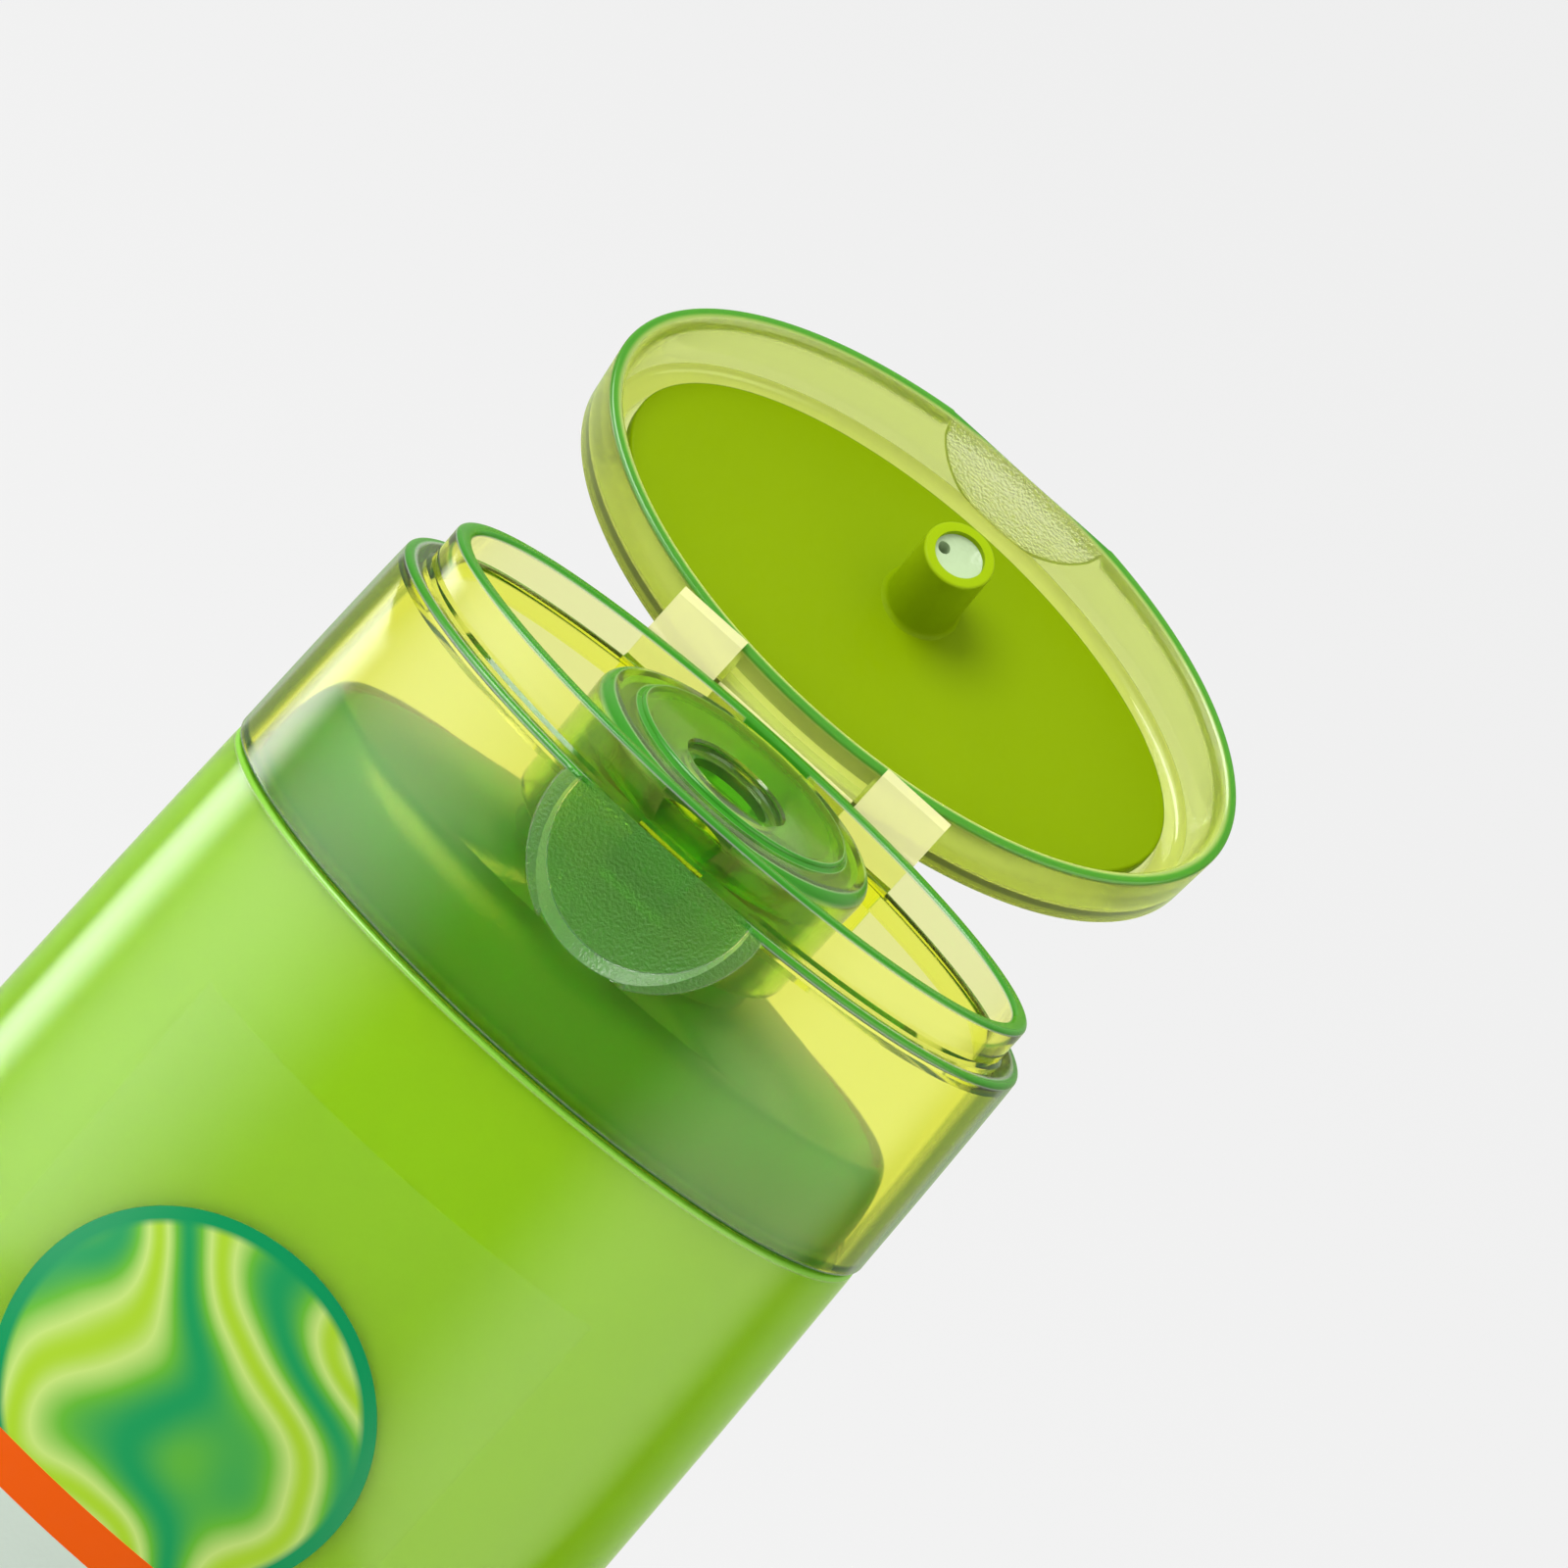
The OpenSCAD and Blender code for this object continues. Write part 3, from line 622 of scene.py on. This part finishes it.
outer = rounding(cap_a, cap_b, low_z, cap_edge, rise=-1)[::-1]
outer += [skirt(low_z + cap_height * i / 12) for i in range(1, 12)]
outer += rounding(top_a, top_b, parting_z, cap_edge)
lip = [(lip_a + 0.3 * MM, lip_b + 0.3 * MM, parting_z), (lip_a, lip_b, parting_z + 0.3 * MM)]
lip += rounding(lip_a, lip_b, parting_z + lip_height, cap_edge)
lip += [(a, b, z) for a, b, z in
        ((lip_a - lip_wall + cap_edge - cap_edge * math.cos(t),
          lip_b - lip_wall + cap_edge - cap_edge * math.cos(t),
          parting_z + lip_height - cap_edge + cap_edge * math.sin(t))
         for t in (math.radians(90 - 90 * i / TURNS) for i in range(TURNS + 1)))]
under = parting_z - cap_wall
inner = [(lip_a - lip_wall, lip_b - lip_wall, under + 0.9 * MM),
         (lip_a - lip_wall + 0.2 * MM, lip_b - lip_wall + 0.2 * MM, under + 0.6 * MM),
         (in_a - 0.3 * MM, in_b - 0.3 * MM, under + 0.5 * MM), (in_a, in_b, under + 0.1 * MM),
         skirt(low_z + cap_height / 2, cap_wall), skirt(low_z, cap_wall)]
cap = loft("cap_shell", outer + lip + inner, ring=True)

# %% Collar, raised disc and outlet tube
plug_r = neck_r - neck_wall - 0.15 * MM
plug_in = plug_r - 0.8 * MM
boss_edge = 1.3 * MM
collar_low = shoulder_z + 2.1 * MM
profile = [(plug_in, plate_under), (plug_in, plate_under - 3 * MM), (plug_r, plate_under - 3 * MM),
           (plug_r, plate_under), (collar_in, plate_under), (collar_in, collar_low)]
sections = [(r, r, z) for r, z in profile]
sections += rounding(collar_low_r, collar_low_r, collar_low, 0.7 * MM, rise=-1)[::-1]
sections += rounding(collar_r, collar_r, shelf, boss_edge)
sections += [(disc_r + 0.3 * MM, disc_r + 0.3 * MM, shelf), (disc_r, disc_r, shelf + 0.2 * MM)]
sections += rounding(disc_r, disc_r, boss_z, 0.25 * MM)
collar = loft("collar", sections)
boolean(cap, collar, "UNION")

tube_r = outlet_r + 0.9 * MM
tube = loft("tube", [(tube_r, tube_r, parting_z - 3.6 * MM), (tube_r, tube_r, plate_under + 0.4 * MM)],
            y=outlet_y, sides=96)
boolean(cap, tube, "UNION")

web_from, web_to = (collar_r + collar_in) / 2, top_b - cap_wall / 2
for low_y in (-web_to, web_from):
    boolean(cap, block("collar_web", (-3 * MM, low_y, parting_z - 5 * MM),
                       (3 * MM, low_y + web_to - web_from, parting_z)), "UNION")

# %% Hinge wall
wall_in, wall_out = 16.75 * MM, 18.05 * MM
wall_top = hinge_z - 0.2 * MM
strap_from, strap_to = 7.2 * MM, 13.6 * MM
pocket_z = parting_z - 5 * MM
boolean(cap, block("upstand", (-strap_to, wall_in, pocket_z), (strap_to, wall_out, wall_top)), "UNION")
boolean(cap, block("web", (-strap_from - 0.4 * MM, top_b - cap_wall / 2, pocket_z),
                   (strap_from + 0.4 * MM, wall_in + 0.4 * MM, parting_z - 0.4 * MM)), "UNION")
for side in (-1, 1):
    ends = sorted((side * strap_from, side * strap_to))
    boolean(cap, block("rib", (ends[0], top_b - cap_wall - 1 * MM, pocket_z),
                       (ends[1], wall_in + 0.4 * MM, parting_z - 0.4 * MM)), "UNION")

# %% Outlet and thumb recess
def cut_round(piece, sections, y=0.0, sides=128, turn=0.0, place=None):
    """Cuts a round loft out of piece, turned about X and moved to its place."""
    tool = loft("cutter", [(r, r, z) for r, z in sections], y=y, sides=sides)
    if place is not None:
        only(tool)
        tool.rotation_euler = (turn, 0, 0)
        tool.location = place
        bpy.ops.object.transform_apply(location=True, rotation=True, scale=True)
    boolean(piece, tool, "DIFFERENCE")


cut_round(cap, [(outlet_r, parting_z - 4 * MM), (outlet_r, boss_z + 0.4 * MM)], y=outlet_y, sides=96)
cut_round(cap, [(4.1 * MM, boss_z - 0.9 * MM), (4.4 * MM, boss_z - 0.8 * MM), (4.5 * MM, boss_z - 0.5 * MM),
                (4.5 * MM, boss_z - 0.2 * MM), (4.7 * MM, boss_z + 0.01 * MM), (4.9 * MM, boss_z + 0.4 * MM)],
          y=outlet_y, sides=96)

thumb = [(thumb_r - 0.15 * MM, 0.0), (thumb_r, 0.05 * MM), (thumb_r + 0.12 * MM, 0.17 * MM),
         (thumb_r + 0.85 * MM, 0.75 * MM), (thumb_r + 1.1 * MM, 0.90 * MM), (thumb_r + 3 * MM, 1.5 * MM),
         (thumb_r + 3.2 * MM, 4 * MM)]
cut_round(cap, thumb, turn=math.pi / 2 - lean, place=thumb_place)

# %% Cap's finish
cap.data.materials.append(cap_plastic)
smooth(cap)
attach(cap, "pack")
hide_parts("cap_base")

# %% [markdown]
# ## Lid
#
# We draw the lid closed, where it is easy to line up, and turn it open at the end.

# %% Lid shell
a, b = top_a - lid_taper, top_b - lid_taper
rim_round, rim_in, rim_tall = 0.3 * MM, 0.9 * MM, 1.5 * MM
inside = [(top_a - lid_wall, top_b - lid_wall, lid_low + rim_tall)]
inside += rounding(a - lid_wall, b - lid_wall, lid_top - lid_plate, 0.8 * MM)
rim = []
for i in range(1, TURNS + 1):
    t = math.radians(90 * i / TURNS)
    set_in = lid_wall - rim_in * (1 - math.cos(t))
    rim.append((top_a - set_in, top_b - set_in, lid_low + rim_tall * (1 - math.sin(t))))
for i in range(5):
    t = math.radians(90 - 90 * i / 4)
    set_in = rim_round * (1 - math.cos(t))
    rim.append((top_a - set_in, top_b - set_in, lid_low + rim_round * (1 - math.sin(t))))
outside = rounding(a, b, lid_top, 1.2 * MM)
lid = loft("lid_shell", inside[::-1] + rim + outside)

ear_half = 6.8 * MM
boolean(lid, block("ear", (-ear_half, top_b - lid_wall / 2, hinge_z + 0.3 * MM),
                   (ear_half, hinge_y + 0.25 * MM, hinge_z + 2.1 * MM)), "UNION")
cut_round(lid, thumb, turn=math.pi / 2, place=thumb_place)
lid.data.materials.append(lid_plastic)
open_lid(lid)
smooth(lid)
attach(lid, "lid_body")
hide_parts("lid")

# %% [markdown]
# ## Insert and plug pin
#
# The opaque insert lies on the lid's ceiling. Its hollow pin plugs the outlet when the lid shuts, and the pin's bore
# goes right through.
# A pale core fills the bore: painted light, for the light that shows in it.

# %% Insert
face_z = lid_top - lid_plate - insert_thickness
roof_z = lid_top - lid_plate - 0.04 * MM
insert = loft("insert_disc", [(insert_a - 0.3 * MM, insert_b - 0.3 * MM, face_z)]
              + rounding(insert_a, insert_b, face_z, 0.3 * MM, rise=-1)[::-1]
              + [(insert_a, insert_b, roof_z)])
pin_r, pin_in = 3.0 * MM, 2.1 * MM
tip = face_z - 7.6 * MM
pin = loft("pin", [(pin_in + 0.1 * MM, pin_in + 0.1 * MM, tip), (pin_r - 0.25 * MM, pin_r - 0.25 * MM, tip)]
           + rounding(pin_r, pin_r, tip, 0.25 * MM, rise=-1)[::-1]
           + [(pin_r, pin_r, face_z - 0.5 * MM), (pin_r + 0.15 * MM, pin_r + 0.15 * MM, face_z - 0.2 * MM),
              (pin_r + 0.5 * MM, pin_r + 0.5 * MM, face_z + 0.1 * MM)], y=outlet_y, sides=96)
boolean(insert, pin, "UNION")
cut_round(insert, [(pin_in, tip - 1 * MM), (pin_in, roof_z + 1 * MM)], y=outlet_y, sides=96)
open_lid(insert)
smooth(insert)
insert.data.materials.append(insert_plastic)
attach(insert, "lid_body")
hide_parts("lid_insert")

# The core fills the bore and is painted pale: painted light showing through the bore. The small off-centre hole cut
# in it stays dark.
bore_light = loft("pin_bore_light", [(pin_in, pin_in, roof_z), (pin_in, pin_in, tip + 0.5 * MM),
                         (1.6 * MM, 1.6 * MM, tip + 0.65 * MM), (0.8 * MM, 0.8 * MM, tip + 0.75 * MM)],
            y=outlet_y, sides=96)
cut_round(bore_light, [(0.55 * MM, tip), (0.4 * MM, face_z)], y=outlet_y, sides=32, place=Vector((-1.3 * MM, 0, 0)))
open_lid(bore_light)
smooth(bore_light)
bore_light.data.materials.append(bore_light_paint)
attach(bore_light, "lid_body")

# %% [markdown]
# ## Hinge film and straps
#
# The film is a thin living hinge.

# %% Film and straps
def opened(y, z):
    """Where a point of the closed lid lies after opening."""
    dy, dz = y - hinge_y, z - hinge_z
    c, s = math.cos(open_angle), math.sin(open_angle)
    return hinge_y + dy * c + dz * s, hinge_z - dy * s + dz * c


film = loft("film", [(0.18 * MM, 0.18 * MM, -ear_half), (0.18 * MM, 0.18 * MM, ear_half)], sides=24)
only(film)
film.rotation_euler = (0, math.pi / 2, 0)
film.location = (0, hinge_y, hinge_z)
bpy.ops.object.transform_apply(location=True, rotation=True, scale=True)
smooth(film)
film.data.materials.append(strap_plastic)
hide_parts("hinge_film")
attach(film, "pack")

foot_y = (wall_in + wall_out) / 2
bend_y, end_y, lap_z = top_b - 0.1 * MM, top_b - 0.85 * MM, lid_low - 0.15 * MM
half = 0.2 * MM
corners = [(foot_y + half, wall_top), opened(bend_y, lap_z), opened(end_y, lap_z),
           opened(end_y, lap_z - 2 * half), opened(bend_y + 2 * half / 3, lap_z - 2 * half),
           (foot_y - half, wall_top)]
for name, node, start in (("strap_left", "hinge_strap_left", -strap_to),
                          ("strap_right", "hinge_strap_right", strap_from)):
    bpy.ops.object.select_all(action="DESELECT")
    bpy.ops.mesh.primitive_circle_add(vertices=6, radius=1, fill_type="NGON")
    strap = bpy.context.active_object
    strap.name = strap.data.name = name
    for vertex, (y, z) in zip(strap.data.vertices, corners):
        vertex.co = (start, y, z)
    bpy.ops.object.mode_set(mode="EDIT")
    bpy.ops.mesh.select_all(action="SELECT")
    bpy.ops.mesh.extrude_region_move(TRANSFORM_OT_translate={"value": (strap_to - strap_from, 0, 0)})
    bpy.ops.mesh.select_all(action="SELECT")
    bpy.ops.mesh.normals_make_consistent(inside=False)
    for cut in range(1, 12):
        share = cut / 12
        bpy.ops.mesh.select_all(action="SELECT")
        near = Vector((0, foot_y, wall_top)).lerp(Vector((0, *opened(end_y, lap_z))), share)
        bpy.ops.mesh.bisect(plane_co=near, plane_no=(0, *[e - f for e, f in
                            zip(opened(end_y, lap_z), (foot_y, wall_top))]))
    bpy.ops.object.mode_set(mode="OBJECT")
    smooth(strap)
    strap.data.materials.append(strap_plastic)
    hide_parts(node)
    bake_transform(strap)

# %% [markdown]
# ## Labels and print
#
# A grid in front of the bottle is wrapped onto it with a Shrinkwrap modifier, and Solidify makes it
# a thin film. The print is made of still thinner pieces on top: a round picture of soft green
# waves, and plain bands of colour. There is no lettering.

# %% Label films
def wrapped(name, width, low, high, offset, thickness, front=True):
    """A sheet of film on the bottle's face, offset from the wall."""
    bpy.ops.object.select_all(action="DESELECT")
    bpy.ops.mesh.primitive_grid_add(x_subdivisions=48, y_subdivisions=48, size=1)
    piece = bpy.context.active_object
    piece.name = piece.data.name = name
    piece.scale = (width, high - low, 1)
    piece.rotation_euler = (math.pi / 2 if front else -math.pi / 2, 0, 0)
    piece.location = (0, -0.04 if front else 0.04, (low + high) / 2)
    bpy.ops.object.transform_apply(location=True, rotation=True, scale=True)
    wrap(piece, offset, thickness, front)
    return piece


def wrap(piece, offset, thickness, front=True):
    """Projects a flat piece onto the bottle along Y and gives it a thickness."""
    only(piece)
    step = piece.modifiers.new("Shrinkwrap", "SHRINKWRAP")
    step.target = bottle
    step.wrap_method = "PROJECT"
    step.use_project_y = True
    step.use_positive_direction = front
    step.use_negative_direction = not front
    step.offset = offset
    bpy.ops.object.modifier_apply(modifier=step.name)
    step = piece.modifiers.new("Solidify", "SOLIDIFY")
    step.thickness = thickness
    step.offset = 1
    step.material_offset_rim = 1
    bpy.ops.object.modifier_apply(modifier=step.name)


label_top = body_height - 12 * MM
label_low = label_top - 92 * MM
label_width = 38 * MM
film_clear, principled, tree, output = shader("label_film")
principled.inputs["Base Color"].default_value = (0.9, 0.97, 0.85, 1)
principled.inputs["Roughness"].default_value = 0.12
principled.inputs["Alpha"].default_value = 0.014
film_rim, principled, tree, output = shader("label_film_rim")
principled.inputs["Base Color"].default_value = (0.9, 0.97, 0.8, 1)
principled.inputs["Roughness"].default_value = 0.2
principled.inputs["Alpha"].default_value = 0.25
for name, node, front in (("label_front", "front_label", True), ("label_back", "back_label", False)):
    label = wrapped(name, label_width, label_low, label_top, 0.02 * MM, 0.12 * MM, front)
    label.data.materials.append(film_clear)
    label.data.materials.append(film_rim)
    smooth(label)
    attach(label, "pack")
    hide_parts(node)

# %% Printed bands
def print_ink(name, colour):
    """A glossy ink with a slightly uneven surface."""
    material, principled, tree, output = shader(name)
    principled.inputs["Base Color"].default_value = colour
    tree.links.new(wander(tree, 700.0, 0.12, 0.25), principled.inputs["Roughness"])
    relief(tree, principled, wander(tree, 2500.0, 0.0, 1.0), 0.000004)
    return material


emblem_z = body_height - 37 * MM
emblem_r = 15 * MM
orange = print_ink("print_orange", (1.0, 0.13, 0.008, 1))
pale = print_ink("print_pale", (0.72, 0.83, 0.72, 1))
for name, ink, top, tall in (("band_orange", orange, emblem_z - 11.0 * MM, 3.4 * MM),
                             ("band_pale", pale, emblem_z - 14.4 * MM, 6.0 * MM)):
    band = wrapped(name, label_width - 2 * MM, top - tall, top, 0.15 * MM, 0.02 * MM)
    band.data.materials.append(ink)
    smooth(band)
    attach(band, "pack")

# %% Round picture of waves
waves, principled, tree, output = shader("print_waves")
place_node = add(tree, "ShaderNodeTexCoord")
centre = add(tree, "ShaderNodeVectorMath", operation="SUBTRACT")
centre.inputs[1].default_value = (0, 0, emblem_z)
tree.links.new(place_node.outputs["Object"], centre.inputs[0])
flatten = add(tree, "ShaderNodeVectorMath", operation="MULTIPLY")
flatten.inputs[1].default_value = (1, 0, 1)
tree.links.new(centre.outputs[0], flatten.inputs[0])
wave = add(tree, "ShaderNodeTexWave", scale=42.0, distortion=9.0, detail=0.0)
wave.inputs["Detail Scale"].default_value = 1.6
wave.bands_direction = "DIAGONAL"
tree.links.new(flatten.outputs[0], wave.inputs["Vector"])
hues = add(tree, "ShaderNodeValToRGB")
hues.color_ramp.elements[0].color = (0.02, 0.40, 0.12, 1)
hues.color_ramp.elements[1].color = (0.48, 0.78, 0.04, 1)
middle = hues.color_ramp.elements.new(0.35)
middle.color = (0.16, 0.58, 0.05, 1)
light = hues.color_ramp.elements.new(0.8)
light.color = (0.66, 0.90, 0.24, 1)
tree.links.new(wave.outputs["Fac"], hues.inputs["Fac"])
radius = add(tree, "ShaderNodeVectorMath", operation="LENGTH")
tree.links.new(flatten.outputs[0], radius.inputs[0])
edge = add(tree, "ShaderNodeMapRange")
edge.inputs["From Min"].default_value = 0.0135
edge.inputs["From Max"].default_value = 0.0141
tree.links.new(radius.outputs["Value"], edge.inputs["Value"])
ringed = add(tree, "ShaderNodeMix", data_type="RGBA")
ringed.inputs["B"].default_value = (0.007, 0.36, 0.12, 1)
tree.links.new(edge.outputs["Result"], ringed.inputs["Factor"])
tree.links.new(hues.outputs["Color"], ringed.inputs["A"])
tree.links.new(ringed.outputs["Result"], principled.inputs["Base Color"])
principled.inputs["Roughness"].default_value = 0.18

bpy.ops.object.select_all(action="DESELECT")
bpy.ops.mesh.primitive_circle_add(vertices=128, radius=emblem_r)
emblem = bpy.context.active_object
emblem.name = emblem.data.name = "emblem"
bpy.ops.object.mode_set(mode="EDIT")
bpy.ops.mesh.select_all(action="SELECT")
rings = 16
for i in range(1, rings):
    bpy.ops.mesh.extrude_region_move()
    share = (rings - i) / (rings - i + 1)
    bpy.ops.transform.resize(value=(share, share, share), center_override=(0, 0, 0))
bpy.ops.mesh.merge(type="CENTER")
bpy.ops.object.mode_set(mode="OBJECT")
emblem.rotation_euler = (math.pi / 2, 0, 0)
emblem.location = (0, -0.04, emblem_z)
bpy.ops.object.transform_apply(location=True, rotation=True, scale=True)
wrap(emblem, 0.16 * MM, 0.02 * MM)
emblem.data.materials.append(waves)
smooth(emblem)
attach(emblem, "pack")

# %% [markdown]
# ## Floor and light
#
# The floor is pale. For rays that the camera or clear plastic sends to it, most of it glows
# evenly, so that the background is as flat as in the photograph and a soft shadow stays. In
# reflections the floor and the sky are leafy green behind the bottle and dark in front of it,
# which keeps its front clear. Three tall soft panels stand beside the bottle; they give the long
# pale reflections down its front.

# %% Floor
bpy.ops.object.select_all(action="DESELECT")
bpy.ops.mesh.primitive_plane_add(size=30)
floor = bpy.context.active_object
floor.name = floor.data.name = "floor"
material, principled, tree, output = shader("floor_pale")
principled.inputs["Base Color"].default_value = (0.86, 0.86, 0.86, 1)
principled.inputs["Roughness"].default_value = 0.9
glow = add(tree, "ShaderNodeEmission", strength=1.0)
glow.inputs["Color"].default_value = (0.84, 0.84, 0.84, 1)
paths = add(tree, "ShaderNodeLightPath")
seen = add(tree, "ShaderNodeMath", operation="ADD", use_clamp=True)
tree.links.new(paths.outputs["Is Camera Ray"], seen.inputs[0])
tree.links.new(paths.outputs["Is Transmission Ray"], seen.inputs[1])
share = add(tree, "ShaderNodeMath", operation="MULTIPLY")
share.inputs[1].default_value = 0.87
tree.links.new(seen.outputs[0], share.inputs[0])
blend = add(tree, "ShaderNodeMixShader")
tree.links.new(share.outputs[0], blend.inputs[0])
tree.links.new(principled.outputs[0], blend.inputs[1])
tree.links.new(glow.outputs[0], blend.inputs[2])
spot = add(tree, "ShaderNodeTexCoord")
split = add(tree, "ShaderNodeSeparateXYZ")
tree.links.new(spot.outputs["Object"], split.inputs[0])
behind = add(tree, "ShaderNodeMapRange")
behind.inputs["From Min"].default_value = 0.02
behind.inputs["From Max"].default_value = 0.20
behind.inputs["To Min"].default_value = 0.02
behind.inputs["To Max"].default_value = 0.80
tree.links.new(split.outputs["Y"], behind.inputs["Value"])
mirrored = add(tree, "ShaderNodeEmission")
mirrored.inputs["Color"].default_value = (0.80, 0.95, 0.60, 1)
tree.links.new(behind.outputs["Result"], mirrored.inputs["Strength"])
choice = add(tree, "ShaderNodeMixShader")
tree.links.new(paths.outputs["Is Reflection Ray"], choice.inputs[0])
tree.links.new(blend.outputs[0], choice.inputs[1])
tree.links.new(mirrored.outputs[0], choice.inputs[2])
tree.links.new(choice.outputs[0], output.inputs["Surface"])
floor.data.materials.append(material)
print("Floor", round(floor.dimensions.x), "m wide")

# %% World
world = bpy.data.worlds.new("studio")
bpy.context.scene.world = world
world.use_nodes = True
tree = world.node_tree
sky = tree.nodes["Background"]
sky.inputs["Strength"].default_value = 1.0
paths = add(tree, "ShaderNodeLightPath")
where = add(tree, "ShaderNodeTexCoord")
along = add(tree, "ShaderNodeSeparateXYZ")
tree.links.new(where.outputs["Generated"], along.inputs[0])
behind = add(tree, "ShaderNodeMapRange")
behind.inputs["From Min"].default_value = 0.0
behind.inputs["From Max"].default_value = 0.6
behind.inputs["To Min"].default_value = 0.05
behind.inputs["To Max"].default_value = 0.80
tree.links.new(along.outputs["Y"], behind.inputs["Value"])
leafy = add(tree, "ShaderNodeVectorMath", operation="SCALE")
leafy.inputs[0].default_value = (0.80, 0.95, 0.60)
tree.links.new(behind.outputs["Result"], leafy.inputs["Scale"])
tone = add(tree, "ShaderNodeMix", data_type="RGBA")
tone.inputs["A"].default_value = (0.879, 0.879, 0.879, 1)
tree.links.new(leafy.outputs[0], tone.inputs["B"])
tree.links.new(paths.outputs["Is Reflection Ray"], tone.inputs["Factor"])
soft = add(tree, "ShaderNodeMix", data_type="RGBA")
soft.inputs["B"].default_value = (1.12, 1.12, 1.12, 1)
tree.links.new(tone.outputs["Result"], soft.inputs["A"])
tree.links.new(paths.outputs["Is Diffuse Ray"], soft.inputs["Factor"])
tree.links.new(soft.outputs["Result"], sky.inputs["Color"])
print("Sky has", len(tree.nodes), "nodes")

# %% Panels
def panel(name, azimuth_deg, distance, width, height, z, radiance, fade=0.45, colour=(1, 1, 1)):
    """A panel that faces the bottle's axis, as bright as radiance and dimmer towards its sides."""
    t = math.radians(azimuth_deg)
    spot = Vector((distance * math.sin(t), -distance * math.cos(t), z))
    bpy.ops.object.light_add(type="AREA", location=spot)
    light = bpy.context.active_object
    light.name = name
    light.data.shape = "RECTANGLE"
    light.data.size = width
    light.data.size_y = height
    light.data.energy = radiance * math.pi * width * height
    aim = Vector((0, 0, z)) - spot
    light.rotation_mode = "QUATERNION"
    light.rotation_quaternion = aim.to_track_quat("-Z", "Y")
    light.visible_camera = False
    light.visible_transmission = False
    light.visible_diffuse = False
    light.data.color = colour
    light.data.use_nodes = True
    tree = light.data.node_tree
    across = add(tree, "ShaderNodeNewGeometry")
    split = add(tree, "ShaderNodeSeparateXYZ")
    tree.links.new(across.outputs["Parametric"], split.inputs[0])
    rising = add(tree, "ShaderNodeMapRange", interpolation_type="SMOOTHSTEP")
    rising.inputs["From Max"].default_value = fade
    falling = add(tree, "ShaderNodeMapRange", interpolation_type="SMOOTHSTEP")
    falling.inputs["From Min"].default_value = 1.0
    falling.inputs["From Max"].default_value = 1.0 - fade
    both = add(tree, "ShaderNodeMath", operation="MULTIPLY")
    for i, slope in enumerate((rising, falling)):
        tree.links.new(split.outputs["X"], slope.inputs["Value"])
        tree.links.new(slope.outputs["Result"], both.inputs[i])
    tree.links.new(both.outputs[0], tree.nodes["Emission"].inputs["Strength"])
    print(name, "is", width, "m wide")


panel("panel_side", -97, 0.25, 0.16, 0.30, -0.062, 7.0)
panel("panel_left", -55, 0.25, 0.40, 0.44, 0.22, 3.0, fade=0.5)
panel("panel_right", 58, 0.25, 0.44, 0.44, 0.22, 2.4, fade=0.35, colour=(0.95, 1.0, 0.7))
bpy.ops.object.light_add(type="AREA", location=(-0.5, -0.4, 0.9))
key = bpy.context.active_object
key.name = "key"
key.data.shape = "DISK"
key.data.size = 0.6
key.data.energy = 8.0
key.rotation_mode = "QUATERNION"
key.rotation_quaternion = (Vector((0, 0, 0.1)) - key.location).to_track_quat("-Z", "Y")
key.visible_camera = False

scene = bpy.context.scene
scene.view_settings.view_transform = "Standard"
